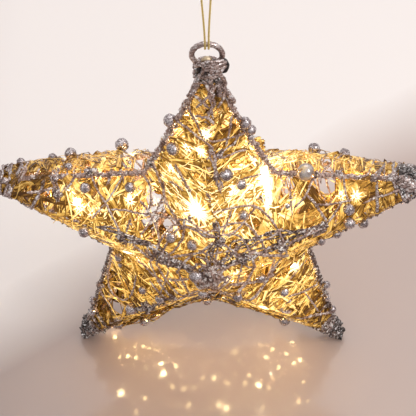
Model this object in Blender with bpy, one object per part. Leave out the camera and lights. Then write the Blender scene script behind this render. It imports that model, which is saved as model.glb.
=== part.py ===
"""Hanging five-pointed LED star with a wire frame, a wound film net, glitter thread and beads.

The star hangs upright by a cord loop. +Z is up, the front faces -Y, and the origin is the top of
the loop, where a hook carries it. All lengths are metres.

A puffed star is two shallow five-sided star pyramids, back to back. Its outline, its five front
ridges and its five back ridges are straight wires. All facets of one pyramid lie equally far from
the star's centre, so a star grown about that centre moves each facet outwards by the same
distance. The net, the thread and the beads take their seats from such grown stars.
"""
import math
import random

import bmesh
import bpy
import numpy as np
from mathutils import Vector

# The star's frame, measured to the wires' centre lines.
STAR_RADIUS = 0.157          # centre to tip
CORNER_RADIUS = 0.0706       # centre to inner corner
FRONT_DEPTH = 0.044          # mid-plane to the front point
BACK_DEPTH = 0.0706          # mid-plane to the point where the back ridges would meet
WIRE_D = 0.003
SEAT_GAP = 0.0003            # between pieces that touch on the real star
OVERRUN = 0.002              # how far a cutter runs past what it cuts

# The wound net of film strips.
NET_T = 0.0012
STRIP_W = 0.0024
NET_ROWS = 4
NET_COLUMNS = 2
NET_JITTER_SHARE = 0.24      # of a cell

# The glitter thread and the beads glued on it.
THREAD_D = 0.0018
THREAD_TURNS = 2.75
THREAD_ROUND = 0.0016        # run of the bend over an edge
THREAD_START = 0.064         # along the arm, from the star's centre
THREAD_TO_CAP = 0.010        # from the last turn to the cap
WEB_TURNS = 2
WEB_START = 0.025            # in-plane distance of the web's first crossing
WEB_STOP = 0.058
THREAD_CLEAR_LEAST = 0.0004
BEAD_LARGE_D = 0.0085
BEAD_D = 0.0072
BEAD_SMALL_D = 0.0050

# The glitter clumps: tips, neck and front hub.
CAP_LENGTH = 0.020           # from a cap's inner end to the star's tip
CAP_BEYOND = 0.004           # past the wires' tip
CAP_END_R = 0.0030
CAP_LUMP = 0.0007
HUB_R = 0.0060
NECK_R = 0.0092
NECK_DEPTH_R = 0.0072
NECK_BELOW = 0.011           # round part starts this far below the tip
NECK_ABOVE = 0.0075          # and ends this far above it

# The hanging ring and the cord loop.
RING_R = 0.0093              # to the middle of the bar
BAR_D = 0.0036
RING_RISE = 0.013            # ring's centre above the star's tip
CORD_D = 0.0015
CORD_REACH = 0.0692          # middle of the ring's top bar to the loop's top
CORD_FOOT_X = 0.0011         # half the strands' distance at the ring
LOOP_R = 0.0036              # at the loop's top
HITCH_W = 0.0068
HITCH_H = 0.0028
HITCH_T = 0.0022
HITCH_CLEAR = 0.0009         # from the ring's bar, which curves away under the hitch
CORD_END_ANGLE = math.radians(65)    # below level, where the cord's ends stop behind the bar

# The battery case at the back.
CELL_D = 0.0141
CELL_L = 0.0490
NUB_D = 0.0055
NUB_L = 0.0013
CELL_CLEAR = 0.0004
CASE_WALL = 0.0015
CASE_RIM = 0.0020            # side walls, which hold the lid's grooves
CASE_FRONT = 0.0460          # depth of the case's inner end behind the mid-plane
CASE_BACK = 0.0660
DIVIDER_T = 0.0008
CONTACT_T = 0.0005
SPRING_L = 0.0012
SWITCH_ZONE = 0.0130
LID_T = 0.0014
LID_RIB_D = 0.0012
GROOVE_DEPTH = 0.0010
LIP_T = 0.0012
SLOT_L = 0.0085
SLOT_W = 0.0036
KNOB_L = 0.0042
KNOB_FLANGE = 0.0010         # keeps the knob in the case
KNOB_STAND = 0.0016
SWITCH_TRAVEL = 0.0034
CASE_BEVEL = 0.0010

# The light string.
LEAD_D = 0.0010
GLAND_D = 0.0045             # where the lead leaves the case
GLAND_L = 0.0015
DROP_D = 0.0044
DROP_L = 0.0070

ARM_ANGLES = tuple(math.radians(90 + 72 * i) for i in range(5))
ARM_NAMES = ("top", "left", "foot_left", "foot_right", "right")
HALF_ARM = math.radians(36)
CORNER_U = CORNER_RADIUS * math.cos(HALF_ARM)
CORNER_V = CORNER_RADIUS * math.sin(HALF_ARM)
EDGE_RATE = (1 - CORNER_U / STAR_RADIUS) / CORNER_V    # per metre across the arm
CAP_START = STAR_RADIUS - CAP_LENGTH
THREAD_STOP = CAP_START - THREAD_TO_CAP
RING_Z = STAR_RADIUS + RING_RISE
STAR_Z = -(CORD_REACH + RING_R + RING_Z)
CENTRE = np.array([0.0, 0.0, STAR_Z])
NET_IN = WIRE_D / 2 + SEAT_GAP
NET_OUT = NET_IN + NET_T
THREAD_AT = NET_OUT + SEAT_GAP + THREAD_D / 2
DEPTHS = {"front": FRONT_DEPTH, "back": BACK_DEPTH}
SIGNS = {"front": 1, "back": -1}

BAY_L = CELL_L + NUB_L + 2 * (CONTACT_T + SEAT_GAP) + SPRING_L + 2 * SEAT_GAP
CASE_L = 2 * CASE_WALL + BAY_L + SWITCH_ZONE
BAY_H = 2 * CELL_D + DIVIDER_T + 4 * CELL_CLEAR
CASE_H = BAY_H + 2 * CASE_RIM
CASE_X0 = -CASE_L / 2
BAY_X0 = CASE_X0 + CASE_WALL
BAY_X1 = BAY_X0 + BAY_L


def grown(side, offset):
    """The scale about the centre that moves one pyramid's facets outwards by offset."""
    reach = 1 / math.sqrt(STAR_RADIUS ** -2 + EDGE_RATE ** 2 + DEPTHS[side] ** -2)
    return 1 + offset / reach


def place(arm, u, v, w):
    """A world point u along an arm, v across it and w in front of the mid-plane."""
    a = ARM_ANGLES[arm]
    x = u * math.cos(a) - v * math.sin(a)
    z = u * math.sin(a) + v * math.cos(a)
    return CENTRE + np.array([x, -w, z])


def facet_depth(side, u, v):
    """Depth of a pyramid's facet over the point u, v of its arm."""
    return DEPTHS[side] * (1 - u / STAR_RADIUS - EDGE_RATE * abs(v))


def edge_v(u, offset=0.0):
    """Half width of an arm where the two pyramids' grown facets meet, and the depth there."""
    front, back = grown("front", offset), grown("back", offset)
    w = (front - back) / (1 / FRONT_DEPTH + 1 / BACK_DEPTH)
    return (front - w / FRONT_DEPTH - u / STAR_RADIUS) / EDGE_RATE, w


def ridge_w(side, u, offset=0.0):
    return SIGNS[side] * DEPTHS[side] * (grown(side, offset) - u / STAR_RADIUS)


def material(name, colour, roughness, metallic=0.0, alpha=1.0, glow=0.0):
    m = bpy.data.materials.new(name)
    m.use_nodes = True
    b = m.node_tree.nodes["Principled BSDF"]
    b.inputs["Base Color"].default_value = (*colour, 1.0)
    b.inputs["Roughness"].default_value = roughness
    b.inputs["Metallic"].default_value = metallic
    b.inputs["Alpha"].default_value = alpha
    b.inputs["Emission Color"].default_value = (*colour, 1.0)
    b.inputs["Emission Strength"].default_value = glow
    return m


def make(name, mesh_or_bmesh, mat, smooth=None):
    """One object of one mesh, with its faces outwards and its own material."""
    if isinstance(mesh_or_bmesh, bmesh.types.BMesh):
        bmesh.ops.recalc_face_normals(mesh_or_bmesh, faces=mesh_or_bmesh.faces[:])
        mesh = bpy.data.meshes.new(name)
        mesh_or_bmesh.to_mesh(mesh)
        mesh_or_bmesh.free()
    else:
        mesh = mesh_or_bmesh
    mesh.materials.append(mat)
    if smooth:
        mesh.shade_smooth()
        mesh.set_sharp_from_angle(angle=math.radians(smooth))
    o = bpy.data.objects.new(name, mesh)
    bpy.context.scene.collection.objects.link(o)
    return o


def from_lists(points, faces):
    bm = bmesh.new()
    verts = [bm.verts.new(tuple(p)) for p in points]
    for f in faces:
        bm.faces.new([verts[i] for i in f])
    return bm


def loft(rings):
    """A closed skin through rings of equally many points, with flat or pointed ends."""
    n = len(rings[0])
    points = [p for r in rings for p in r]
    faces = []
    for k in range(len(rings) - 1):
        for i in range(n):
            j = (i + 1) % n
            faces.append((k * n + i, k * n + j, (k + 1) * n + j, (k + 1) * n + i))
    faces.append(tuple(range(n - 1, -1, -1)))
    faces.append(tuple(range((len(rings) - 1) * n, len(rings) * n)))
    return from_lists(points, faces)


def box(name, low, high, mat=None):
    bm = bmesh.new()
    bmesh.ops.create_cube(bm, size=1.0)
    low, high = np.array(low), np.array(high)
    for v in bm.verts:
        v.co = Vector(low + (np.array(v.co) + 0.5) * (high - low))
    return make(name, bm, mat or material(name, (0.8, 0.8, 0.8), 0.5))


def cutter(o, target, name, operation="DIFFERENCE"):
    o.hide_render = True
    o.display_type = "WIRE"
    m = target.modifiers.new(name, "BOOLEAN")
    m.operation = operation
    m.solver = "EXACT"
    m.object = o
    return m


def wire(name, p, q, plane_p, plane_q, mat, sides=8):
    """A straight round wire from p towards q, with each end cut along a plane (point, normal)."""
    p, q = np.array(p), np.array(q)
    d = (q - p) / np.linalg.norm(q - p)
    side = np.cross(d, [0.0, 1.0, 0.0])
    side /= np.linalg.norm(side)
    up = np.cross(side, d)
    rings = []
    for point, normal in (plane_p, plane_q):
        ring = []
        for i in range(sides):
            a = 2 * math.pi * (i + 0.5) / sides
            c = p + (side * math.cos(a) + up * math.sin(a)) * WIRE_D / 2
            ring.append(c + d * (np.dot(np.array(point) - c, normal) / np.dot(d, normal)))
        rings.append(ring)
    return make(name, loft(rings), mat, smooth=50)


# Materials, with the colours of the photograph.
GLITTER = ((0.36, 0.32, 0.31), 0.45, 0.75)


def frame_wires():
    """Ten outline wires and five ridge wires on each side, each ending in its cap, hub or case."""
    for arm, name in enumerate(ARM_NAMES):
        a = ARM_ANGLES[arm]
        along = np.array([math.cos(a), 0.0, math.sin(a)])
        cap_plane = (place(arm, CAP_START - SEAT_GAP, 0, 0), along)
        tip = place(arm, STAR_RADIUS, 0, 0)
        for label, sign in (("a", 1), ("b", -1)):
            corner = place(arm, CORNER_U, sign * CORNER_V, 0)
            turn = a + sign * HALF_ARM
            across = np.array([-math.sin(turn), 0.0, math.cos(turn)]) * sign
            start = (corner - across * SEAT_GAP / 2, across)
            node = f"outline_wire_{name}_{label}"
            wire(node, corner, tip, start, cap_plane, material(node, *GLITTER))
        front = place(arm, 0, 0, FRONT_DEPTH)
        d = (tip - front) / np.linalg.norm(tip - front)
        node = f"front_ridge_{name}"
        start = (front + d * (HUB_R + SEAT_GAP), d)
        wire(node, front, tip, start, cap_plane, material(node, *GLITTER))
        back = place(arm, 0, 0, -BACK_DEPTH)
        half = np.array([CASE_L / 2, CASE_H / 2]) + SEAT_GAP
        reach = np.abs(along[[0, 2]]) / half
        axis = int(np.argmax(reach))
        normal = np.zeros(3)
        normal[(0, 2)[axis]] = math.copysign(1.0, along[(0, 2)[axis]])
        point = CENTRE + normal * half[axis]
        node = f"back_ridge_{name}"
        wire(node, back, tip, (point, normal), cap_plane, material(node, *GLITTER))


def section_points(u, offset, count, power_share):
    """An arm's section at u as count points: a rhombus that power_share turns into an ellipse."""
    v, w_edge = edge_v(u, offset)
    front, back = ridge_w("front", u, offset), ridge_w("back", u, offset)
    out = []
    for i in range(count):
        a = 2 * math.pi * i / count
        c, s = math.cos(a), math.sin(a)
        tall = front if s >= 0 else -back
        flat = abs(c) + abs(s)
        k = (1 - power_share) / flat + power_share
        out.append((c * k * v, s * k * tall + w_edge * (1 - abs(s))))
    return out


def tip_cap(arm, seed):
    """The dense glitter clump that joins the four wires at a tip."""
    rng = random.Random(seed)
    name = f"tip_glitter_{ARM_NAMES[arm]}"
    end = STAR_RADIUS + CAP_BEYOND
    count, steps = 12, 6
    rings = []
    for k in range(steps):
        t = k / (steps - 1)
        u = CAP_START + (end - CAP_START) * t
        section = section_points(CAP_START, THREAD_AT, count, 0.35 + 0.6 * t)
        shrink = (1 - t) ** 0.8
        ring = []
        for v, w in section:
            size = math.hypot(v, w)
            scale = (size * shrink + CAP_END_R * (1 - shrink) * (1 - 0.45 * t)) / size
            lump = 1 + (rng.uniform(-1, 1) * CAP_LUMP / size if 0 < k else 0)
            ring.append(place(arm, u, v * scale * lump, w * scale * lump))
        rings.append(ring)
    make(name, loft(rings), material(name, (0.24, 0.22, 0.23), 0.5, 0.7), smooth=60)


def neck():
    """The clump at the top tip, which grips the hanging ring's lower bar."""
    rng = random.Random(7)
    count = 16
    low, high = STAR_RADIUS - NECK_BELOW, STAR_RADIUS + NECK_ABOVE
    rings = []
    for t in (0.0, 0.5):
        u = CAP_START + (low - CAP_START) * t
        section = section_points(CAP_START, THREAD_AT, count, 0.3 + t)
        ring = []
        for i, (v, w) in enumerate(section):
            a = 2 * math.pi * i / count
            rv, rw = math.cos(a) * NECK_R, math.sin(a) * NECK_DEPTH_R
            ring.append(place(0, u, v + (rv - v) * t, w + (rw - w) * t))
        rings.append(ring)
    for t, size in ((0.0, 1.0), (0.35, 0.97), (0.7, 0.92), (0.9, 0.8), (1.0, 0.55)):
        ring = []
        for i in range(count):
            a = 2 * math.pi * i / count
            k = size * (1 + rng.uniform(-1, 1) * CAP_LUMP / NECK_R)
            v, w = math.cos(a) * NECK_R * k, math.sin(a) * NECK_DEPTH_R * k
            ring.append(place(0, low + (high - low) * t, v, w))
        rings.append(ring)
    node = "top_neck_glitter"
    body = make(node, loft(rings), material(node, (0.33, 0.29, 0.29), 0.5, 0.7), smooth=60)
    cutter(torus("neck_cutter", BAR_D / 2 + SEAT_GAP * 1.5, 28, 8, None), body, "ring groove")


def torus(name, r, around, tube, mat):
    """A ring about the ring's centre, in the star's plane."""
    rings = []
    for i in range(around):
        a = 2 * math.pi * i / around
        out = np.array([math.cos(a), 0.0, math.sin(a)])
        centre = place(0, RING_Z, 0, 0) + out * RING_R
        ring = []
        for j in range(tube):
            b = 2 * math.pi * j / tube
            ring.append(centre + (out * math.cos(b) + np.array([0, 1.0, 0]) * math.sin(b)) * r)
        rings.append(ring)
    points = [p for r_ in rings for p in r_]
    faces = []
    for i in range(around):
        k = (i + 1) % around
        for j in range(tube):
            m = (j + 1) % tube
            faces.append((i * tube + j, i * tube + m, k * tube + m, k * tube + j))
    return make(name, from_lists(points, faces), mat or material(name, *GLITTER), smooth=60)


def front_hub():
    bm = bmesh.new()
    bmesh.ops.create_uvsphere(bm, u_segments=12, v_segments=8, radius=HUB_R)
    rng = random.Random(3)
    for v in bm.verts:
        v.co = v.co * (1 - rng.random() * CAP_LUMP / HUB_R)
    bmesh.ops.translate(bm, verts=bm.verts, vec=Vector(place(0, 0, 0, FRONT_DEPTH)))
    make("front_hub_glitter", bm, material("front_hub_glitter", *GLITTER), smooth=60)


def net(arm, side):
    """One folded net over the two facets of an arm: film strips round irregular gaps.

    Each facet is a patch of rows from its valley to the tip cap, and columns from the outline to
    the ridge. Each cell is two triangles, and each triangle shrinks towards the middle of its
    inscribed circle by half a strip, which leaves strips of one width between the gaps.
    """
    rng = random.Random(100 + 10 * arm + (side == "back"))
    outer, inner = grown(side, NET_OUT), grown(side, NET_IN)
    depth = DEPTHS[side]
    u_tip = (CAP_START - SEAT_GAP) / outer
    lap = 2 * SEAT_GAP / (depth * EDGE_RATE)
    valley = np.array([math.cos(HALF_ARM), math.sin(HALF_ARM)])
    aside = np.array([math.sin(HALF_ARM), -math.cos(HALF_ARM)]) * SEAT_GAP

    hug = SEAT_GAP + NET_T
    case_half = np.array([CASE_L / 2, CASE_H / 2]) + hug
    ca, sa = math.cos(ARM_ANGLES[arm]), math.sin(ARM_ANGLES[arm])

    def hub_stop(direction):
        """How far from the centre the net stops, along a direction across the star's plane."""
        if side == "front":
            return HUB_R * 1.35
        x = abs(direction[0] * ca - direction[1] * sa)
        z = abs(direction[0] * sa + direction[1] * ca)
        return 1 / max(x / case_half[0], z / case_half[1])

    def corner_push():
        """The factor that keeps the net's inner edge outside the case's own corners."""
        push = 1.0
        for half in (1, -1):
            stops = [hub_stop((valley[0], half * valley[1])), hub_stop((1.0, 0.0))]
            for sx in (1, -1):
                for sz in (1, -1):
                    x, z = case_half * (sx, sz)
                    u, v = x * ca + z * sa, z * ca - x * sa
                    on_valley = v * half / valley[1]
                    on_ridge = u - on_valley * valley[0]
                    if on_valley > 0 and on_ridge > 0:
                        push = max(push, on_valley / stops[0] + on_ridge / stops[1])
        return push

    push = corner_push() if side == "back" else 1.0
    corner = np.array([CORNER_U, CORNER_V]) - np.array([0, lap])
    edge_end = np.array([u_tip, edge_v(u_tip)[0] - lap])
    flat, index = [], {}

    def corner_of(half, row, column):
        """The index of a grid point; the ridge's points belong to both halves."""
        key = (0 if column == NET_COLUMNS and row > 0 else half, row, column)
        if key in index:
            return index[key]
        t = row / NET_ROWS
        start = corner + (edge_end - corner) * t
        if row == 0:
            unit = np.array([valley[0], half * valley[1]])
            stop = np.array([unit[0], abs(unit[1])]) * hub_stop(unit) * push
            start = start + aside
            stop = stop + aside
        else:
            ridge = hub_stop((1.0, 0.0)) * push + STRIP_W
            stop = np.array([ridge + (u_tip - ridge) * (row - 1) / (NET_ROWS - 1), 0.0])
        p = start + (stop - start) * column / NET_COLUMNS
        if 0 < column < NET_COLUMNS:
            rate = NET_JITTER_SHARE * (1 - 0.6 * t if 0 < row < NET_ROWS else 0)
            p = p + (stop - start) / NET_COLUMNS * rng.uniform(-rate, rate)
            if 0 < row < NET_ROWS:
                step = (u_tip - CORNER_U) / NET_ROWS
                p = p + np.array([step * rng.uniform(-rate, rate), 0.0])
        elif 0 < row < NET_ROWS:
            share = NET_JITTER_SHARE * rng.uniform(-1, 1) / NET_ROWS
            if column == 0:
                p = p + (edge_end - corner) * share
            elif row > 1:
                p = p + np.array([(u_tip - ridge) * share, 0.0])
        index[key] = len(flat)
        flat.append(np.array([p[0], p[1] * half]))
        return index[key]

    triangles = []
    for half in (1, -1):
        for row in range(NET_ROWS):
            for column in range(NET_COLUMNS):
                a = corner_of(half, row, column)
                b = corner_of(half, row + 1, column)
                c = corner_of(half, row + 1, column + 1)
                d = corner_of(half, row, column + 1)
                if rng.random() < 0.5:
                    pair = [(a, b, c), (a, c, d)]
                else:
                    pair = [(a, b, d), (b, c, d)]
                triangles += pair if half > 0 else [t[::-1] for t in pair]

    base = [np.array([u, v, SIGNS[side] * facet_depth(side, u, v)]) for u, v in flat]
    faces, walls, used = [], [], {}
    for t in triangles:
        for i in range(3):
            edge = (t[i], t[(i + 1) % 3])
            used[frozenset(edge)] = used.get(frozenset(edge), []) + [edge]
        p = [base[i] for i in t]
        sides = [np.linalg.norm(p[(i + 1) % 3] - p[(i + 2) % 3]) for i in range(3)]
        area = np.linalg.norm(np.cross(p[1] - p[0], p[2] - p[0])) / 2
        middle = sum(s * q for s, q in zip(sides, p)) / sum(sides)
        circle = 2 * area / sum(sides)
        if circle < STRIP_W * 0.8:
            faces.append(t)
            continue
        first = len(base)
        for q in p:
            base.append(middle + (q - middle) * (1 - STRIP_W / 2 / circle))
        for i in range(3):
            j = (i + 1) % 3
            faces.append((t[i], t[j], first + j, first + i))
            walls.append((first + i, first + j))
    walls += [e[0][::-1] for e in used.values() if len(e) == 1]
    n = len(base)
    points = [place(arm, *(b * outer)) for b in base] + [place(arm, *(b * inner)) for b in base]
    solid = list(faces) + [tuple(n + i for i in reversed(f)) for f in faces]
    solid += [(a, b, n + b, n + a) for a, b in walls]
    node = f"film_net_{side}_{ARM_NAMES[arm]}"
    make(node, from_lists(points, solid), material(node, (0.86, 0.62, 0.22), 0.25, 0.6))


def rounded(corners, mids):
    """A thread's points over a row of edges: each bend is cut short on both its sides."""
    points = []
    for i, c in enumerate(corners):
        before = mids[i - 1][-1] if i > 0 else None
        after = mids[i][0] if i < len(mids) else None
        for other in (before, after):
            if other is not None:
                d = other - c
                points.append(c + d / np.linalg.norm(d) * THREAD_ROUND)
            else:
                points.append(c)
        if i < len(mids):
            points += mids[i]
    return np.array(points)


def arm_thread(arm):
    """The points of an arm's winding, which runs flat over one facet after the other."""
    spans = int(round(THREAD_TURNS * 4))
    way = 1 if arm % 2 == 0 else -1
    order = [("edge", way), ("front", 0), ("edge", -way), ("back", 0)]
    lift = THREAD_ROUND / 3

    def corner(i, extra):
        u = THREAD_START + (THREAD_STOP - THREAD_START) * i / spans
        kind, sign = order[(i + arm) % 4]
        if kind == "edge":
            v, w = edge_v(u, THREAD_AT + extra)
            return place(arm, u, sign * v, w)
        return place(arm, u, 0, ridge_w(kind, u, THREAD_AT + extra))

    corners = [corner(i, lift) for i in range(spans + 1)]
    mids = []
    for i in range(spans):
        a, b = corner(i, 0), corner(i + 1, 0)
        mids.append([a + (b - a) * t for t in (1 / 3, 2 / 3)])
    return rounded(corners, mids)


def web_thread():
    """The front hub's winding: straight from ridge to ridge, as in a spider's web."""
    spans = 5 * WEB_TURNS
    corners = []
    for i in range(spans + 1):
        u = WEB_START + (WEB_STOP - WEB_START) * i / spans
        corners.append(place(i % 5, u, 0, ridge_w("front", u, THREAD_AT + THREAD_ROUND / 3)))
    mids = [[a + (b - a) * t for t in (1 / 3, 2 / 3)] for a, b in zip(corners, corners[1:])]
    return rounded(corners, mids)


def least_gap(points):
    """The least clear distance between turns of a winding, measured on points along it."""
    line = []
    for a, b in zip(points, points[1:]):
        steps = max(1, int(np.linalg.norm(b - a) / THREAD_D))
        line += [a + (b - a) * i / steps for i in range(steps)]
    line = np.array(line)
    along = np.concatenate([[0], np.cumsum(np.linalg.norm(np.diff(line, axis=0), axis=1))])
    far = np.linalg.norm(line[:, None] - line[None], axis=2)
    far[np.abs(along[:, None] - along[None]) < 8 * THREAD_D] = np.inf
    return far.min() - THREAD_D


def tube(name, points, diameter, resolution, mat):
    """A round cord or thread: an open curve with a bevel and filled caps."""
    curve = bpy.data.curves.new(name, "CURVE")
    curve.dimensions = "3D"
    curve.bevel_depth = diameter / 2
    curve.bevel_resolution = resolution
    curve.use_fill_caps = True
    spline = curve.splines.new("POLY")
    spline.points.add(len(points) - 1)
    for p, q in zip(spline.points, points):
        p.co = (*q, 1.0)
    curve.materials.append(mat)
    o = bpy.data.objects.new(name, curve)
    bpy.context.scene.collection.objects.link(o)
    return o


def at_share(points, share):
    """The point at a share of a line's length, and the direction there."""
    step = np.linalg.norm(np.diff(points, axis=0), axis=1)
    along = np.concatenate([[0], np.cumsum(step)])
    s = share * along[-1]
    i = min(int(np.searchsorted(along, s, side="right")) - 1, len(points) - 2)
    d = points[i + 1] - points[i]
    return points[i] + d * (s - along[i]) / step[i], d / step[i]


def thread(name, points, outward, beads):
    """A winding with its beads: the thread's tube with each bead fused on its outer side."""
    print(f"{name}: least gap between turns {least_gap(points) * 1000:.2f} mm")
    assert least_gap(points) > THREAD_CLEAR_LEAST
    mat = material(name, (0.47, 0.42, 0.41), 0.4, 0.8)
    curve = tube(name + "_curve", points, THREAD_D, 1, mat)
    mesh = bpy.data.meshes.new_from_object(curve)
    bpy.data.objects.remove(curve)
    o = make(name, mesh, mat, smooth=60)
    bm = bmesh.new()
    for share, size in beads:
        p, d = at_share(points, share)
        out = outward(p)
        out = out - d * np.dot(out, d)
        out /= np.linalg.norm(out)
        part = bmesh.ops.create_uvsphere(bm, u_segments=8, v_segments=5, radius=size / 2)
        centre = p + out * (size / 2 - THREAD_D / 2)
        bmesh.ops.translate(bm, verts=part["verts"], vec=Vector(centre))
    beads_object = make(name + "_beads", bm, mat)
    cutter(beads_object, o, "beads", "UNION")


def facet_outward(arm):
    """The direction away from an arm's middle, square to the nearest facet or edge."""
    def outward(p):
        a = ARM_ANGLES[arm]
        q = p - CENTRE
        v = -q[0] * math.sin(a) + q[2] * math.cos(a)
        side = "front" if q[1] < 0 else "back"
        u = q[0] * math.cos(a) + q[2] * math.sin(a)
        half, _ = edge_v(u, THREAD_AT)
        top = abs(ridge_w(side, u, THREAD_AT))
        edge_near = abs(v) > half - THREAD_ROUND * 1.6
        ridge_near = abs(q[1]) > top - THREAD_ROUND
        nv = 0.0 if ridge_near else math.copysign(EDGE_RATE, v)
        nw = 0.0 if edge_near else SIGNS[side] / DEPTHS[side]
        n = place(arm, 1 / STAR_RADIUS, nv, nw) - CENTRE
        return n / np.linalg.norm(n)
    return outward


# Beads by arm, as shares of the winding's length, with their sizes. The web carries the last.
ARM_BEAD_SHARES = (
    ((0.06, "L"), (0.16, "M"), (0.27, "M"), (0.36, "S"), (0.47, "M"), (0.62, "M"), (0.80, "S")),
    ((0.05, "M"), (0.17, "M"), (0.30, "L"), (0.43, "M"), (0.55, "M"), (0.68, "M"), (0.83, "S")),
    ((0.07, "M"), (0.19, "S"), (0.32, "M"), (0.45, "M"), (0.58, "M"), (0.72, "M"), (0.86, "S")),
    ((0.06, "S"), (0.18, "M"), (0.31, "M"), (0.44, "M"), (0.60, "S"), (0.73, "M"), (0.87, "M")),
    ((0.05, "L"), (0.18, "M"), (0.29, "M"), (0.42, "M"), (0.54, "M"), (0.69, "M"), (0.84, "S")),
)
WEB_BEAD_SHARES = ((0.04, "M"), (0.24, "M"), (0.37, "M"), (0.55, "S"), (0.70, "M"), (0.86, "M"))
BEAD_SIZES = {"L": BEAD_LARGE_D, "M": BEAD_D, "S": BEAD_SMALL_D}


def threads():
    for arm, name in enumerate(ARM_NAMES):
        beads = [(s, BEAD_SIZES[k]) for s, k in ARM_BEAD_SHARES[arm]]
        thread(f"glitter_thread_{name}", arm_thread(arm), facet_outward(arm), beads)
    beads = [(s, BEAD_SIZES[k]) for s, k in WEB_BEAD_SHARES]
    thread("glitter_thread_hub", web_thread(), lambda p: np.array([0.0, -1.0, 0.0]), beads)


def smooth_line(points, step):
    """A smooth curve through points (Catmull-Rom), read about every step."""
    p = np.array(points, float)
    p = np.vstack([2 * p[0] - p[1], p, 2 * p[-1] - p[-2]])
    out = []
    for i in range(1, len(p) - 2):
        n = max(1, int(round(np.linalg.norm(p[i + 1] - p[i]) / step)))
        t = (np.arange(n) / n)[:, None]
        a, b, c, d = p[i - 1], p[i], p[i + 1], p[i + 2]
        out.append(0.5 * (2 * b + (c - a) * t + (2 * a - 5 * b + 4 * c - d) * t ** 2
                          + (3 * b - a - 3 * c + d) * t ** 3))
    out.append(p[-2][None])
    return np.vstack(out)


# The light string's route, chosen by hand as shares of the star's radius from its centre. The
# third number of each row is the height, and the last says whether a lamp sits there.
LIGHT_SHARES = (
    (0.00, 0.20, 0.02, False), (-0.05, 0.02, 0.13, True), (-0.04, 0.00, 0.34, False),
    (-0.03, 0.00, 0.53, True), (0.00, 0.10, 0.47, True), (0.12, 0.08, 0.36, False),
    (0.22, 0.03, 0.30, True), (0.21, 0.12, 0.20, True), (0.40, 0.04, 0.18, False),
    (0.62, 0.00, 0.22, True), (0.64, -0.04, 0.17, False), (0.45, -0.03, 0.06, False),
    (0.36, -0.03, -0.10, False), (0.37, -0.02, -0.26, True), (0.36, 0.00, -0.42, False),
    (0.27, -0.01, -0.52, True), (0.16, -0.05, -0.38, False), (0.08, -0.10, -0.25, True),
    (-0.10, -0.06, -0.30, False), (-0.30, -0.02, -0.45, True), (-0.33, 0.02, -0.32, False),
    (-0.32, 0.00, -0.14, True), (-0.30, 0.00, 0.02, False), (-0.34, 0.00, 0.15, True),
    (-0.46, 0.00, 0.13, False), (-0.57, 0.00, 0.17, True), (-0.64, 0.00, 0.20, False),
)


def light_string():
    """The thin lead with its drop lamps, from the battery case through all five arms."""
    start = CENTRE + np.array([0.0, CASE_FRONT - GLAND_L - SEAT_GAP, 0.0])
    first = start - np.array([0.0, 2 * LEAD_D, 0.0])
    route = [first] + [CENTRE + STAR_RADIUS * np.array(r[:3]) for r in LIGHT_SHARES]
    line = np.vstack([start[None], smooth_line(route, 15 * LEAD_D)])
    mat = material("light_string", (0.75, 0.5, 0.25), 0.3, 0.6)
    curve = tube("light_string_curve", line, LEAD_D, 0, mat)
    mesh = bpy.data.meshes.new_from_object(curve)
    bpy.data.objects.remove(curve)
    o = make("light_string", mesh, mat, smooth=60)
    bm = bmesh.new()
    for r in LIGHT_SHARES:
        if not r[3]:
            continue
        p = CENTRE + STAR_RADIUS * np.array(r[:3])
        i = int(np.argmin(np.linalg.norm(line - p, axis=1)))
        d = Vector(line[min(i + 1, len(line) - 1)] - line[i - 1]).normalized()
        part = bmesh.ops.create_uvsphere(bm, u_segments=6, v_segments=5, radius=DROP_D / 2)
        turn = d.to_track_quat("Z", "Y").to_matrix()
        for v in part["verts"]:
            v.co = turn @ Vector((v.co.x, v.co.y, v.co.z * DROP_L / DROP_D)) + Vector(p)
    cutter(make("light_string_drops", bm, mat), o, "drops", "UNION")
    print(f"light string: {np.linalg.norm(np.diff(line, axis=0), axis=1).sum() * 1000:.0f} mm")


def back(x, depth, z):
    """A point of the battery case, by its depth behind the star's mid-plane."""
    return CENTRE + np.array([x, depth, z])


def bevelled(o, width):
    m = o.modifiers.new("edges", "BEVEL")
    m.width = width
    m.segments = 2
    m.limit_method = "ANGLE"
    m.angle_limit = math.radians(60)


def cylinder_x(bm, x0, x1, r, depth, z, sides):
    """A closed round bar along X."""
    part = bmesh.ops.create_cone(bm, cap_ends=True, segments=sides, radius1=r, radius2=r,
                                 depth=x1 - x0)
    for v in part["verts"]:
        v.co = Vector(back((x0 + x1) / 2 + v.co.z, depth + v.co.y, z + v.co.x))


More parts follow.
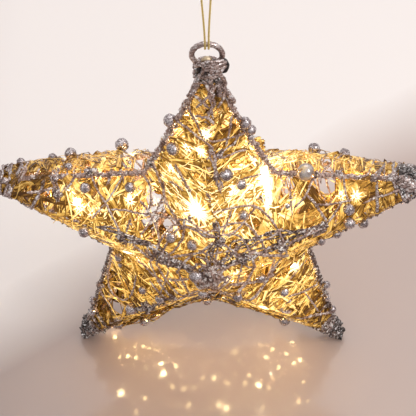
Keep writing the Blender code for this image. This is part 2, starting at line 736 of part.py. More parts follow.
def battery_case():
    """The tray for two cells, its sliding lid, its switch knob, the contacts and the cells."""
    plastic = (0.80, 0.78, 0.74)
    half = CASE_H / 2
    lid_in = CASE_BACK - LIP_T - LID_T - 2 * SEAT_GAP
    case = box("battery_case", back(CASE_X0, CASE_FRONT, -half),
               back(-CASE_X0, CASE_BACK, half), material("battery_case", plastic, 0.35))
    bevelled(case, CASE_BEVEL)
    bay_h = BAY_H / 2
    for sign, label in ((1, "upper"), (-1, "lower")):
        z = sorted((sign * DIVIDER_T / 2, sign * bay_h))
        cutter(box(f"bay_{label}", back(BAY_X0, CASE_FRONT + CASE_WALL, z[0]),
                   back(BAY_X1, CASE_BACK + OVERRUN, z[1])), case, f"bay {label}")
    groove = bay_h + GROOVE_DEPTH
    cutter(box("lid_slot", back(CASE_X0 - OVERRUN, lid_in, -groove),
               back(BAY_X1 + CASE_WALL / 2, lid_in + LID_T + 2 * SEAT_GAP, groove)), case, "groove")
    cutter(box("lid_window", back(CASE_X0 - OVERRUN, lid_in, -bay_h),
               back(BAY_X1, CASE_BACK + OVERRUN, bay_h)), case, "window")
    slot_x = BAY_X1 + CASE_WALL + (SWITCH_ZONE - CASE_WALL) / 2
    pocket = CASE_BACK - CASE_WALL
    floor = pocket - KNOB_FLANGE - 2 * SEAT_GAP
    for label, grow, top in (("slot", 0.0, CASE_BACK + OVERRUN), ("pocket", KNOB_FLANGE, pocket)):
        cutter(box(f"switch_{label}", back(slot_x - SLOT_L / 2 - grow, floor, -SLOT_W / 2 - grow),
                   back(slot_x + SLOT_L / 2 + grow, top, SLOT_W / 2 + grow)), case, label)
    bm = bmesh.new()
    bmesh.ops.create_cone(bm, cap_ends=True, segments=12, radius1=GLAND_D / 2,
                          radius2=GLAND_D / 2, depth=GLAND_L + CASE_WALL / 2)
    for v in bm.verts:
        y = CASE_FRONT - GLAND_L + (GLAND_L + CASE_WALL / 2) / 2 + v.co.z
        v.co = Vector(back(v.co.x, y, v.co.y))
    cutter(make("lead_gland", bm, material("lead_gland", plastic, 0.35)), case, "gland", "UNION")

    lid_x1 = BAY_X1 + CASE_WALL / 2 - SEAT_GAP
    lid = box("battery_lid", back(CASE_X0 + SEAT_GAP, lid_in + SEAT_GAP, -groove + SEAT_GAP),
              back(lid_x1, lid_in + SEAT_GAP + LID_T, groove - SEAT_GAP),
              material("battery_lid", plastic, 0.35))
    for i in range(3):
        x = CASE_X0 + CASE_L * 0.08 + i * LID_RIB_D * 2.5
        rib = box(f"lid_rib_{i}", back(x, lid_in + LID_T / 2, -bay_h * 0.5),
                  back(x + LID_RIB_D, lid_in + SEAT_GAP + LID_T + LIP_T * 0.6, bay_h * 0.5))
        cutter(rib, lid, f"rib {i}", "UNION")

    rest = slot_x - SWITCH_TRAVEL / 2
    knob_foot = SLOT_W / 2 - SEAT_GAP
    knob = box("switch_knob", back(rest - KNOB_L / 2, floor + SEAT_GAP, -knob_foot),
               back(rest + KNOB_L / 2, CASE_BACK + KNOB_STAND, knob_foot),
               material("switch_knob", (0.05, 0.05, 0.05), 0.4))
    wide = knob_foot + KNOB_FLANGE
    flange = box("switch_flange",
                 back(rest - KNOB_L / 2 - KNOB_FLANGE, floor + SEAT_GAP, -wide),
                 back(rest + KNOB_L / 2 + KNOB_FLANGE, pocket - SEAT_GAP, wide))
    cutter(flange, knob, "flange", "UNION")

    x0 = BAY_X0 + CONTACT_T + 2 * SEAT_GAP
    middle = CASE_FRONT + CASE_WALL + CELL_CLEAR + CELL_D / 2
    cell_z = DIVIDER_T / 2 + CELL_CLEAR + CELL_D / 2
    for sign, label in ((1, "upper"), (-1, "lower")):
        bm = bmesh.new()
        a = x0 + (SPRING_L if sign > 0 else NUB_L)
        cylinder_x(bm, a, a + CELL_L, CELL_D / 2, middle, sign * cell_z, 20)
        cell = make(f"cell_{label}", bm, material(f"cell_{label}", (0.3, 0.3, 0.32), 0.3, 0.8), 50)
        bm = bmesh.new()
        ends = (a + CELL_L - NUB_L, a + CELL_L + NUB_L) if sign > 0 else (a - NUB_L, a + NUB_L)
        cylinder_x(bm, *ends, NUB_D / 2, middle, sign * cell_z, 12)
        cutter(make(f"nub_{label}", bm, material(f"nub_{label}", (0.7, 0.7, 0.7), 0.3, 1.0)), cell,
               "nub", "UNION")

    metal = ((0.75, 0.74, 0.70), 0.25, 1.0)
    tall = (CELL_D * 0.36, CELL_D * 0.42)
    low, high = BAY_X0 + SEAT_GAP, BAY_X0 + SEAT_GAP + CONTACT_T
    far_low, far_high = BAY_X1 - SEAT_GAP - CONTACT_T, BAY_X1 - SEAT_GAP
    for label, xs, sign, spring in (("a", (low, high), 1, True), ("b", (low, high), -1, False),
                                    ("c", (far_low, far_high), 1, False),
                                    ("d", (far_low, far_high), -1, True)):
        node = f"contact_{label}"
        z = sign * cell_z
        plate = box(node, back(xs[0], middle - tall[0], z - tall[1]),
                    back(xs[1], middle + tall[0], z + tall[1]), material(node, *metal))
        if spring:
            bm = bmesh.new()
            reach = SPRING_L - SEAT_GAP
            ends = (xs[1] - CONTACT_T / 2, xs[1] + reach) if xs[0] == low else (
                xs[0] - reach, xs[0] + CONTACT_T / 2)
            cylinder_x(bm, *ends, CELL_D * 0.22, middle, z, 12)
            cutter(make(f"spring_{label}", bm, material(f"spring_{label}", *metal)), plate,
                   "spring", "UNION")


def hanging_loop():
    """The ring, the cord that loops up from it, and the hitch that holds the cord's ends."""
    torus("hanging_ring", BAR_D / 2, 28, 8, material("hanging_ring", *GLITTER))
    bar = place(0, RING_Z + RING_R, 0, 0)
    turn_steps = 5
    swing = math.pi - CORD_END_ANGLE
    turn = (BAR_D / 2 + SEAT_GAP + CORD_D / 2) / math.cos(swing / turn_steps / 2)
    half = []
    rise = CORD_REACH - CORD_D / 2 - LOOP_R
    for k in range(turn_steps + 1):
        a = CORD_END_ANGLE + swing * k / turn_steps
        half.append((CORD_FOOT_X, turn * math.cos(a), -turn * math.sin(a)))
    straight = 12
    for k in range(1, straight + 1):
        t = k / straight
        ease = t * t * (3 - 2 * t)
        half.append((CORD_FOOT_X + (LOOP_R - CORD_FOOT_X) * ease, -turn * (1 - ease), rise * t))
    for k in range(1, 4):
        a = math.pi / 2 * k / 4
        half.append((LOOP_R * math.cos(a), 0.0, rise + LOOP_R * math.sin(a)))
    left = [(-x, y, z) for x, y, z in half]
    route = left + [(0.0, 0.0, rise + LOOP_R)] + half[::-1]
    line = np.array([bar + np.array(p) for p in route])
    tube("hanging_cord", line, CORD_D, 2, material("hanging_cord", (0.72, 0.53, 0.2), 0.35, 0.6))
    print(f"cord: {np.linalg.norm(np.diff(line, axis=0), axis=1).sum() * 1000:.0f} mm")
    away = Vector((0.0, math.cos(CORD_END_ANGLE), -math.sin(CORD_END_ANGLE)))
    onward = Vector((0.0, math.sin(CORD_END_ANGLE), math.cos(CORD_END_ANGLE)))
    middle = (Vector(bar) + away * (BAR_D / 2 + HITCH_CLEAR + HITCH_T / 2)
              + onward * (SEAT_GAP + HITCH_H / 2))
    bm = bmesh.new()
    bmesh.ops.create_cube(bm, size=1.0)
    for v in bm.verts:
        v.co = (middle + Vector((v.co.x * HITCH_W, 0.0, 0.0)) + away * (v.co.y * HITCH_T)
                + onward * (v.co.z * HITCH_H))
    bmesh.ops.recalc_face_normals(bm, faces=bm.faces)
    hitch = make("cord_hitch", bm, material("cord_hitch", (0.72, 0.53, 0.2), 0.35, 0.6))
    bevelled(hitch, HITCH_H / 5)


def build():
    for o in list(bpy.data.objects):
        bpy.data.objects.remove(o)
    hanging_loop()
    neck()
    for arm in range(1, 5):
        tip_cap(arm, 20 + arm)
    frame_wires()
    front_hub()
    for arm in range(5):
        for side in ("front", "back"):
            net(arm, side)
    threads()
    light_string()
    battery_case()


build()
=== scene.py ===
# %% [markdown]
# # A wound Christmas star with lights inside
#
# The real star is a puffed frame of wire. Crumpled see-through gold film is wound over the wires, glittered
# thread and beads are wound over the film, and a string of small warm lamps lies inside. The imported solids
# hold the frame, the joints and the sizes. This file dresses them: each cell makes one thing that a maker of
# such a star would also make, and the surfaces are numpy functions put into meshes as whole arrays.

# %% Load the solids and keep their box
import math

import bpy
import numpy as np
from mathutils import Matrix, Vector


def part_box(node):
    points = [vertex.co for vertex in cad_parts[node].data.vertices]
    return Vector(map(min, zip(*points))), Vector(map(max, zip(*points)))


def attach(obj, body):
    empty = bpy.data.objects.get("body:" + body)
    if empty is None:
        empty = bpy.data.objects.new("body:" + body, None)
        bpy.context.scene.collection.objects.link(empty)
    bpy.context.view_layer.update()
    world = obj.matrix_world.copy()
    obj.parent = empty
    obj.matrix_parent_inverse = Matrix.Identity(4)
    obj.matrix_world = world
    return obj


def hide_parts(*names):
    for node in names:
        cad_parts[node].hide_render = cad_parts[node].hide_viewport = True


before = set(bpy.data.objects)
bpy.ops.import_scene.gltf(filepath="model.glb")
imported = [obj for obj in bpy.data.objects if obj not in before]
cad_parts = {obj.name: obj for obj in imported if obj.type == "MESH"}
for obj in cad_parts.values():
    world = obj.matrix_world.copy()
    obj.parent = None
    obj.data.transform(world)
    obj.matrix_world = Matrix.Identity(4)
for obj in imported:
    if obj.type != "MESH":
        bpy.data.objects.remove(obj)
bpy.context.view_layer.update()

# %% [markdown]
# ## Measures
#
# The star's own plan is written in three numbers for each arm: u runs from the star's middle to the arm's
# tip, v runs across the arm, and w stands for depth, with the front at plus. Every facet is a plane in these
# numbers, so that anything laid on the star needs only its place in the plan. All lengths are in metres.

# %% The star's measures, the same as in the solids
STAR_RADIUS = 0.157
CORNER_RADIUS = 0.0706
DEPTH = {"front": 0.044, "back": 0.0706}
SIGN = {"front": 1.0, "back": -1.0}
CENTRE = np.array([0.0, 0.0, -0.2485])
ARMS = ("top", "left", "foot_left", "foot_right", "right")
ANGLE = {arm: math.radians(90 + 72 * i) for i, arm in enumerate(ARMS)}
CORNER_U = CORNER_RADIUS * math.cos(math.radians(36))
CORNER_V = CORNER_RADIUS * math.sin(math.radians(36))
EDGE_RATE = (1 - CORNER_U / STAR_RADIUS) / CORNER_V
VALLEY_RATE = math.tan(math.radians(36))
FLOOR_Z = -0.3802
print("inner corner at", round(CORNER_U, 4), round(CORNER_V, 4))

# %% [markdown]
# ## Camera
#
# The photograph looks down on the standing star. The camera was fitted to the five tips, the inner corners
# and the front point. Its own right, up and back directions are kept, because the same numbers later tell
# where a thread or bead that is seen at a place in the picture lies on the star.

# %% Camera
RISE, TURN, ROLL = 0.90293, 0.02786, -0.01927  # the view's slope down, its turn aside and its lean
FOCAL = 1876.7  # in widths of a picture point, for a picture 416 points wide
PICTURE = 416
SENSOR = 36  # millimetres
EYE_FAR = 1.256
POINT_WIDE = EYE_FAR / FOCAL  # one picture point's width at the star, in metres
back = np.array([math.sin(TURN) * math.cos(RISE), -math.cos(TURN) * math.cos(RISE), math.sin(RISE)])
level = np.array([math.cos(TURN), math.sin(TURN), 0.0])
upright = np.cross(level, -back)
right = math.cos(ROLL) * level + math.sin(ROLL) * upright
up = -math.sin(ROLL) * level + math.cos(ROLL) * upright
eye = np.array([-0.00118, 0.0, -0.2288]) + EYE_FAR * back


def ray_through(x, y):
    """The direction from the eye through picture places x, y: right times x less up times y, both from the
    picture's middle and over the focal length, less back."""
    x, y = ((np.asarray(k, float)[..., None] - PICTURE / 2) / FOCAL for k in (x, y))
    return right * x - up * y - back


def in_picture(points):
    """The picture place of points in space: their right and up parts over their depth before the eye."""
    away_from_eye = np.asarray(points) - eye
    depth = -(away_from_eye @ back)
    return np.stack([PICTURE / 2 + FOCAL * (away_from_eye @ right) / depth,
                     PICTURE / 2 - FOCAL * (away_from_eye @ up) / depth], -1)


def put_in_scene(name, data, axes=None, where=None):
    """A new object of the data. With axes, its own right, up and back directions, it stands at where."""
    made = bpy.data.objects.new(name, data)
    bpy.context.scene.collection.objects.link(made)
    if axes is not None:
        made.matrix_world = Matrix(np.vstack([np.stack([*axes, where], 1), [0, 0, 0, 1.0]]).tolist())
    return made


view = bpy.data.cameras.new("view")
view.lens = FOCAL / PICTURE * SENSOR
view.sensor_width = SENSOR
bpy.context.scene.camera = put_in_scene("view", view, (right, up, back), eye)
print("lens", round(view.lens, 1), "mm at", [round(float(x), 3) for x in eye])

# %% [markdown]
# ## Meshes from arrays
#
# Nearly everything on this star is long and thin: wire, thread, film, cord. One helper therefore carries a
# closed profile along a path, and one helper puts a pile of such forms into a mesh at once. Each form is an
# array of stations by points round the profile, and both of its ends are closed.

# %% Helpers: unit vectors, a profile along a path, and the mesh
def unit(vectors):
    """Each vector divided by its own length."""
    return vectors / np.maximum(np.linalg.norm(vectors, axis=-1, keepdims=True), 1e-12)


def rings_along(path, aside, profile):
    """For each path point: the point plus profile x times the sideways direction plus profile y times the
    direction square to both. The sideways direction is aside, less its share along the path."""
    along = unit(np.gradient(path, axis=0))
    aside = np.broadcast_to(aside, path.shape)
    across = unit(aside - (aside * along).sum(-1, keepdims=True) * along)
    over = np.cross(along, across)
    return path[:, None] + profile[..., :1] * across[:, None] + profile[..., 1:] * over[:, None]


def full_turn(sides):
    """Equal angles round a full turn, one for each side."""
    return np.arange(sides) * 2 * np.pi / sides


def circle(angle):
    """The cosine and the sine of each angle: points on a circle of radius one."""
    return np.stack([np.cos(angle), np.sin(angle)], -1)


def round_profile(radius, sides):
    """Points on a circle, one circle for each radius: radius times the circle of equal angles."""
    return np.asarray(radius)[:, None, None] * circle(full_turn(sides))


def length_along(path):
    """The distance walked from the path's start to each of its points."""
    return np.concatenate([[0.0], np.cumsum(np.linalg.norm(np.diff(path, axis=0), axis=1))])


def spread(path, count):
    """The same line with count points at even distances, by straight lines between the old points."""
    path = np.asarray(path, float)
    run = length_along(path)
    at = np.linspace(0, run[-1], count)
    return np.stack([np.interp(at, run, column) for column in path.T], -1)


def resampled(path, step):
    """The same line with its points about one step apart."""
    return spread(path, max(3, int(length_along(path)[-1] / step) + 1))


def softened(path, rounds=2):
    """Each inner point moved to the mean of itself and its neighbours, a few times over; ends stay."""
    path = path.copy()
    for _ in range(rounds):
        path[1:-1] = 0.25 * path[:-2] + 0.5 * path[1:-1] + 0.25 * path[2:]
    return path


def make_mesh(name, forms, runs=None, tones=None, smooth=True):
    """One object from closed forms. A form's quads join neighbours along and round it, and its two ends are
    single faces. The UV map run holds the length along in metres and the share round the profile, and tones
    gives each face its own brightness."""
    corners, sizes, where, maps, tone = [], [], [], [], []
    first = 0
    for i, form in enumerate(forms):
        count, sides = form.shape[:2]
        index = first + np.arange(count * sides).reshape(count, sides)
        low, high = index[:-1], index[1:]
        quads = np.stack([low, np.roll(low, -1, 1), np.roll(high, -1, 1), high], -1)
        corners += [quads.ravel(), index[0, ::-1], index[-1]]
        sizes += [np.full((count - 1) * sides, 4), np.array([sides, sides])]
        run = np.arange(count) * 0.001 if runs is None else runs[i]
        share = np.arange(sides + 1) / sides
        u = np.stack([run[:-1], run[:-1], run[1:], run[1:]], -1)[:, None].repeat(sides, 1)
        v = np.stack([share[:-1], share[1:], share[1:], share[:-1]], -1)[None].repeat(count - 1, 0)
        maps += [np.stack([u, v], -1).reshape(-1, 2),
                 np.stack([np.full(sides, run[0]), share[:-1][::-1]], -1),
                 np.stack([np.full(sides, run[-1]), share[:-1]], -1)]
        where.append(form.reshape(-1, 3))
        if tones is not None:
            own = np.broadcast_to(tones[i], (count - 1, sides))
            tone += [own.ravel(), np.full(2, own.mean())]
        first += count * sides
    where = np.concatenate(where)
    corners, sizes = np.concatenate(corners), np.concatenate(sizes)
    mesh = bpy.data.meshes.new(name)
    mesh.vertices.add(len(where))
    mesh.vertices.foreach_set("co", where.astype(np.float32).ravel())
    mesh.loops.add(len(corners))
    mesh.loops.foreach_set("vertex_index", corners.astype(np.int32))
    mesh.polygons.add(len(sizes))
    mesh.polygons.foreach_set("loop_start", (np.cumsum(sizes) - sizes).astype(np.int32))
    mesh.update(calc_edges=True)
    layer = mesh.uv_layers.new(name="run")
    layer.data.foreach_set("uv", np.concatenate(maps).astype(np.float32).ravel())
    if tones is not None:
        mark = mesh.attributes.new("tone", "FLOAT", "FACE")
        mark.data.foreach_set("value", np.concatenate(tone).astype(np.float32))
    mesh.polygons.foreach_set("use_smooth", np.full(len(sizes), smooth))
    return put_in_scene(name, mesh)


def points_of(piece):
    """The piece's points as one array."""
    co = np.zeros(len(piece.data.vertices) * 3, np.float32)
    piece.data.vertices.foreach_get("co", co)
    return co.reshape(-1, 3).astype(float)


def set_mark(piece, name, of_place):
    """Writes of_place(points) to a float attribute of the piece's points."""
    values = of_place(points_of(piece)).astype(np.float32)
    piece.data.attributes.new(name, "FLOAT", "POINT").data.foreach_set("value", values)


def coat(piece, material):
    """The material in place of any that the piece has."""
    piece.data.materials.clear()
    piece.data.materials.append(material)


def dress(piece, material, replaces=(), body="star"):
    """The material, the body that the piece rides on, and the solids it stands for, which are hidden."""
    coat(piece, material)
    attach(piece, body)
    if replaces:
        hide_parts(*replaces)
    print(piece.name, len(piece.data.polygons), "faces")
    return piece


def add_piece(name, forms, finish, replaces=(), runs=None):
    """One dressed object from closed forms."""
    return dress(make_mesh(name, forms, runs), finish, replaces)


def gathered(lots):
    """Several lots of (forms, runs) as one."""
    forms, runs = zip(*lots)
    return sum(forms, []), sum(runs, [])


# %% [markdown]
# ## Random, but the same each time
#
# Winding by hand is never even. A seeded generator gives uneven lengths and places, and two smooth kinds of
# unevenness are used throughout: waves along a strip, and lumps in space for coats of glitter and glue.

# %% Seeded unevenness
rng = np.random.default_rng(20)


def waves(count, stations, cycles, parts=4):
    """Smooth random curves, one row each: the mean of a few sines with random turns up to cycles and random
    starts, of about unit height."""
    at = np.linspace(0, 1, stations)[None, None]
    turns = rng.uniform(0.25, 1, (count, parts, 1)) * cycles
    start = rng.uniform(0, 1, (count, parts, 1))
    return np.sin(2 * np.pi * (turns * at + start)).sum(1) / math.sqrt(parts) * 0.9


def lumps(points, size, seed, parts=20):
    """A random field in space with humps about size apart: the mean of sines along random directions."""
    own = np.random.default_rng(seed)
    direction = unit(own.normal(size=(parts, 3))) / (size * own.uniform(0.7, 1.6, (parts, 1)))
    start = own.uniform(0, 1, parts)
    field = np.sin(2 * np.pi * (points @ direction.T + start))
    return field.sum(-1) / math.sqrt(parts) * 1.2


def two_lumps(points, size, seed, share=0.5, finer=0.4):
    """Lumps about size apart plus a share of lumps that are finer times that."""
    return lumps(points, size, seed) + share * lumps(points, finer * size, seed + 1)


def pushed(form, middle, push):
    """Each point moved away from its own middle by push."""
    reach = np.maximum(np.linalg.norm(form - middle, axis=-1), 1e-4)
    return middle + (form - middle) * (1 + push / reach)[..., None]


# %% [markdown]
# ## Places on the star
#
# A star grown outwards by an even distance is the same star, a little larger about its own middle, because
# all facets of one face lie equally far from the middle. So a film lies on a star grown by 2 or 3 mm, and a
# thread on one grown by 4 mm. Two functions answer the photograph: they send rays from the eye through
# places in the picture and give the points where the rays first meet the grown star.

# %% Points on the grown star
FULLER = 0.0042  # how much further out the film lies behind the side arms, at most
HAIR = 1e-6


def grown(side, offset):
    """The scale at which the side's facets lie offset further out: 1 plus offset over their distance."""
    reach = 1 / math.sqrt(STAR_RADIUS ** -2 + EDGE_RATE ** 2 + DEPTH[side] ** -2)
    return 1 + np.asarray(offset) / reach


def fuller(arm, side, u):
    """How much further out the film is wound behind the two side arms: it eases in along the arm."""
    share = np.clip((np.asarray(u) - 0.03) / 0.05, 0, 1)
    return FULLER * share ** 2 * (3 - 2 * share) * (side == "back" and arm in ("left", "right"))


def in_space(arm, u, v, w):
    """u along the arm, v across it and w towards the front, turned by the arm's angle about the middle."""
    c, s = math.cos(ANGLE[arm]), math.sin(ANGLE[arm])
    return CENTRE + np.stack([u * c - v * s, -w + 0 * u, u * s + v * c], -1)


def depth_at(side, u, v, offset):
    """w on the facet's plane, where w over the depth, plus u over the radius, plus the edge rate times v,
    is the growth."""
    return SIGN[side] * DEPTH[side] * (grown(side, offset) - u / STAR_RADIUS - EDGE_RATE * np.abs(v))


def on_arm(arm, side, u, v, offset):
    """The grown facet's point at u, v."""
    return in_space(arm, u, v, depth_at(side, u, v, offset))


def facing(arm, side, v):
    """The facet's outward direction at each v."""
    v = np.asarray(v, float)
    nu, nv = np.full(v.shape, 1 / STAR_RADIUS), EDGE_RATE * np.sign(v + 1e-9)
    nw = np.full(v.shape, SIGN[side] / DEPTH[side])
    c, s = math.cos(ANGLE[arm]), math.sin(ANGLE[arm])
    return unit(np.stack([nu * c - nv * s, -nw, nu * s + nv * c], -1))


def edge_at(u, offset):
    """Where front and back facets meet: v and w of the outline at each u, for a star grown by offset."""
    front, behind = grown("front", offset), grown("back", offset)
    w = (front - behind) / (1 / DEPTH["front"] + 1 / DEPTH["back"])
    return (front - w / DEPTH["front"] - u / STAR_RADIUS) / EDGE_RATE, w


def seen_at(x, y, offset):
    """Points of the grown star where rays from the eye through picture places x, y first meet it, with
    their outward directions; not a number where a ray misses. Each facet's plane is met in turn, and the
    nearest meeting within its own facet is kept."""
    ray, start = ray_through(np.atleast_1d(x), np.atleast_1d(y)), eye - CENTRE
    best = np.full(len(ray), np.inf)
    place, out = np.full((len(ray), 3), np.nan), np.full((len(ray), 3), np.nan)
    for arm in ARMS:
        c, s = math.cos(ANGLE[arm]), math.sin(ANGLE[arm])
        to_arm = np.array([[c, 0, s], [-s, 0, c], [0, -1, 0]])
        eye_uvw, ray_uvw = to_arm @ start, ray @ to_arm.T
        for side in DEPTH:
            for half in (1.0, -1.0):
                plane = np.array([1 / STAR_RADIUS, half * EDGE_RATE, SIGN[side] / DEPTH[side]])
                far = (grown(side, offset) - plane @ eye_uvw) / (ray_uvw @ plane)
                u, v, w = (eye_uvw + far[:, None] * ray_uvw).T
                inside = (half * v >= -HAIR) & (half * v <= u * VALLEY_RATE + HAIR)
                inside &= SIGN[side] * (w - edge_at(u, offset)[1]) >= -HAIR
                kept = inside & (far > 0) & (far < best)
                best[kept] = far[kept]
                place[kept] = in_space(arm, u, v, w)[kept]
                out[kept] = facing(arm, side, v)[kept]
    return place, out


def arm_plan(x, z):
    """Plan place x, z from the middle as u and v of the arm nearest to it."""
    turned = math.pi / 2 + np.round((np.arctan2(z, x) - math.pi / 2) / math.radians(72)) * math.radians(72)
    return x * np.cos(turned) + z * np.sin(turned), -x * np.sin(turned) + z * np.cos(turned)


def on_plan(x, z, spare=0.03):
    """Whether plan places lie within the outline."""
    u, v = arm_plan(x, z)
    return u / STAR_RADIUS + EDGE_RATE * np.abs(v) < 1 - spare


def on_star(x, z, side, offset):
    """The grown star's point above plan place x, z from the middle."""
    return CENTRE + np.stack([x, -depth_at(side, *arm_plan(x, z), offset), z], -1)


SEEN_STEP, JUMP = 1.2, 0.006  # picture points between two rays, and the gap that breaks a line


def seen_path(points, offset):
    """A line drawn in the picture, laid on the grown star. It breaks where the ray misses or jumps from one
    arm to another, and gives the pieces that are left with their outward directions."""
    line = spread(points, max(4, int(length_along(points)[-1] / SEEN_STEP)))
    place, out = seen_at(*line.T, offset)
    breaks = np.flatnonzero(~(np.linalg.norm(np.diff(place, axis=0), axis=1) < JUMP)) + 1
    return [(softened(p), unit(softened(n))) for p, n in zip(np.split(place, breaks), np.split(out, breaks))
            if len(p) > 3 and np.isfinite(p).all()]


EDGE_GAP = 0.0014  # how far off the outline wires a winding lies


def wound(arm, start, stop, turns, phase, offset, wobble):
    """A winding round one arm: its angle grows evenly, u goes from start to stop, and the point lies on the
    section's four sides, front ridge, edge, back ridge and edge, between which it goes in straight lines."""
    count = int(abs(turns) * 44) + 4
    at = np.linspace(0, 1, count)
    angle = (phase + turns * at) * 4
    u = start + (stop - start) * at + wobble * waves(1, count, 1.5 * abs(turns))[0]
    u = np.clip(u, CORNER_U, 0.98 * STAR_RADIUS)
    v_edge, w_edge = edge_at(u, min(offset, EDGE_GAP))
    leg, share = np.floor(angle).astype(int) % 4, angle - np.floor(angle)
    zero = 0 * u
    tops = {side: depth_at(side, u, zero, offset + fuller(arm, side, u)) for side in DEPTH}
    corner_v = np.stack([zero, v_edge, zero, -v_edge])
    corner_w = np.stack([tops["front"], w_edge + zero, tops["back"], w_edge + zero])
    here = np.arange(count)
    v = corner_v[leg, here] * (1 - share) + corner_v[(leg + 1) % 4, here] * share
    w = corner_w[leg, here] * (1 - share) + corner_w[(leg + 1) % 4, here] * share
    path = softened(in_space(arm, u, v, w), 1)
    return path, unit(path - in_space(arm, u, zero, zero))


print("front point is", np.round(on_arm("top", "front", np.zeros(1), np.zeros(1), 0)[0], 4))

# %% [markdown]
# ## Finishes: the small helpers
#
# Each finish is a short chain of nodes on one shader. Patterns read the piece's own space, the map that runs
# along a strip or the marks on its faces and points, never the camera.

# %% Node helpers
def node_maker(tree):
    """A function that adds a node to the tree: links feed its sockets, and values are its own settings."""
    def node(kind, links=(), **values):
        made = tree.nodes.new(kind)
        for key, value in values.items():
            if key in made.inputs and not hasattr(made, key):
                made.inputs[key].default_value = value
            else:
                setattr(made, key, value)
        for socket, source in dict(links).items():
            tree.links.new(source, made.inputs[socket])
        return made

    return node


def new_material(name):
    """An empty node material, the function that adds a node, and one that feeds the shader's inputs with
    sockets or numbers."""
    material = bpy.data.materials.new(name)
    material.use_nodes = True
    tree = material.node_tree

    def give(**inputs):
        for key, value in inputs.items():
            socket = tree.nodes["Principled BSDF"].inputs[key.replace("_", " ")]
            if isinstance(value, bpy.types.NodeSocket):
                tree.links.new(value, socket)
            else:
                socket.default_value = value

    return material, node_maker(tree), give


def object_space(node):
    return node("ShaderNodeTexCoord").outputs["Object"]


def noise(node, scale, detail=2.0, space=None, **more):
    """Smooth noise in the piece's own space, or in another."""
    space = object_space(node) if space is None else space
    return node("ShaderNodeTexNoise", {"Vector": space}, Scale=scale, Detail=detail, **more).outputs["Fac"]


def bump(node, height, strength, distance):
    """The direction of a surface that height pushes in and out."""
    return node("ShaderNodeBump", {"Height": height}, Strength=strength, Distance=distance).outputs["Normal"]


def strip_map(node, scale):
    """The map that runs along and round a strip, plain and scaled."""
    run = node("ShaderNodeUVMap", uv_map="run").outputs["UV"]
    return run, node("ShaderNodeMapping", {"Vector": run}, Scale=scale).outputs["Vector"]


def marked(node, name):
    return node("ShaderNodeAttribute", attribute_name=name).outputs["Fac"]


def ramp(node, source, *stops):
    """A colour ramp with the given stops: (place, (red, green, blue))."""
    made = node("ShaderNodeValToRGB", {"Fac": source})
    band = made.color_ramp
    while len(band.elements) < len(stops):
        band.elements.new(0.5)
    for element, (place, colour) in zip(band.elements, stops):
        element.position = place
        element.color = (*colour, 1)
    return made.outputs["Color"]


def maths(node, operation, first, second=0.0):
    """One sum on one or two values, each a socket or a number."""
    made = node("ShaderNodeMath", operation=operation)
    for i, value in enumerate((first, second)):
        if isinstance(value, (int, float)):
            made.inputs[i].default_value = value
        else:
            made.id_data.links.new(value, made.inputs[i])
    return made.outputs["Value"]


def plus(node, first, second):
    return maths(node, "ADD", first, second)


def times(node, first, second):
    return maths(node, "MULTIPLY", first, second)


def span(node, value, low, high, to_low, to_high):
    """A value moved from one span to another, held at the ends."""
    made = node("ShaderNodeMapRange", {"Value": value}, clamp=True)
    for key, number in zip(("From Min", "From Max", "To Min", "To Max"), (low, high, to_low, to_high)):
        made.inputs[key].default_value = number
    return made.outputs["Result"]


def dot(node, vector, direction):
    """How far a place lies along a direction."""
    made = node("ShaderNodeVectorMath", {0: vector}, operation="DOT_PRODUCT")
    made.inputs[1].default_value = direction
    return made.outputs["Value"]


def between(first, second, share):
    """A colour between two: one less share times the first, plus share times the second."""
    return tuple((1 - share) * a + share * b for a, b in zip(first, second))


# %% [markdown]
# ## Glitter
#
# Glitter is a coat of flat flakes in glue, each about half a millimetre and tilted its own way. A cell
# pattern gives every flake its own grey, its own roughness and its own height, so the flakes catch the
# light one by one. The brightest flakes are painted near white in the base colour: painted glints. The glue
# between them is darker, and a broad noise lets some places hold more flakes.

# %% Glitter material
def glitter(name, deep, flake, painted_glint, grain, shine, bumps=0.75, gloss=(0.16, 0.6)):
    """deep is the glue, flake the usual flake, and the third colour, near white, the painted glints of flakes
    that flash. A flake's grey is its own random share plus the broad noise; its height is its share less its
    distance from the flake's middle."""
    material, node, give = new_material(name)
    cells = node("ShaderNodeTexVoronoi", {"Vector": object_space(node)}, Scale=grain)
    shares = node("ShaderNodeSeparateColor", {"Color": cells.outputs["Color"]})
    own, other = shares.outputs["Red"], shares.outputs["Green"]
    grey = plus(node, own, span(node, noise(node, 170.0), 0.3, 0.7, -0.22, 0.22))
    height = plus(node, own, times(node, cells.outputs["Distance"], -0.6))
    give(Base_Color=ramp(node, grey, (0.10, deep), (0.34, between(deep, flake, 0.5)), (0.60, flake),
                         (0.80, between(flake, painted_glint, 0.4)), (0.92, painted_glint)),
         Roughness=span(node, other, 0, 1, *gloss), Metallic=shine, Normal=bump(node, height, bumps, 0.0005))
    return material


# The second row is the first at about half its brightness, a darker copy of the silver glitter used on the
# lower outline wires, the feet, the sagging threads, most bands and the knots: painted shade.
GLITTERS = (  # name, glue, usual flake, flash, flakes in a metre, share of metal, bumps, span of roughness
    ("silver_glitter", (0.20, 0.115, 0.085), (0.60, 0.40, 0.335), (1.0, 0.93, 0.88), 1000, 0.1),
    ("taupe_glitter", (0.05, 0.028, 0.022), (0.31, 0.20, 0.165), (1.0, 0.94, 0.90), 1000, 0.2),
    ("dark_glitter", (0.012, 0.009, 0.008), (0.16, 0.125, 0.115), (1.0, 0.97, 0.97), 900, 0.4),
    ("bead_glitter", (0.21, 0.165, 0.165), (0.46, 0.385, 0.385), (1.0, 0.95, 0.96), 1700, 0.95, 0.12,
     (0.14, 0.40)),
    ("ring_glitter", (0.22, 0.15, 0.13), (0.52, 0.41, 0.385), (0.98, 0.93, 0.92), 1300, 0.8, 0.15,
     (0.14, 0.42)),
    ("lilac_glitter", (0.15, 0.10, 0.085), (0.49, 0.365, 0.335), (1.0, 0.95, 0.95), 1300, 0.65, 0.4,
     (0.12, 0.42)))
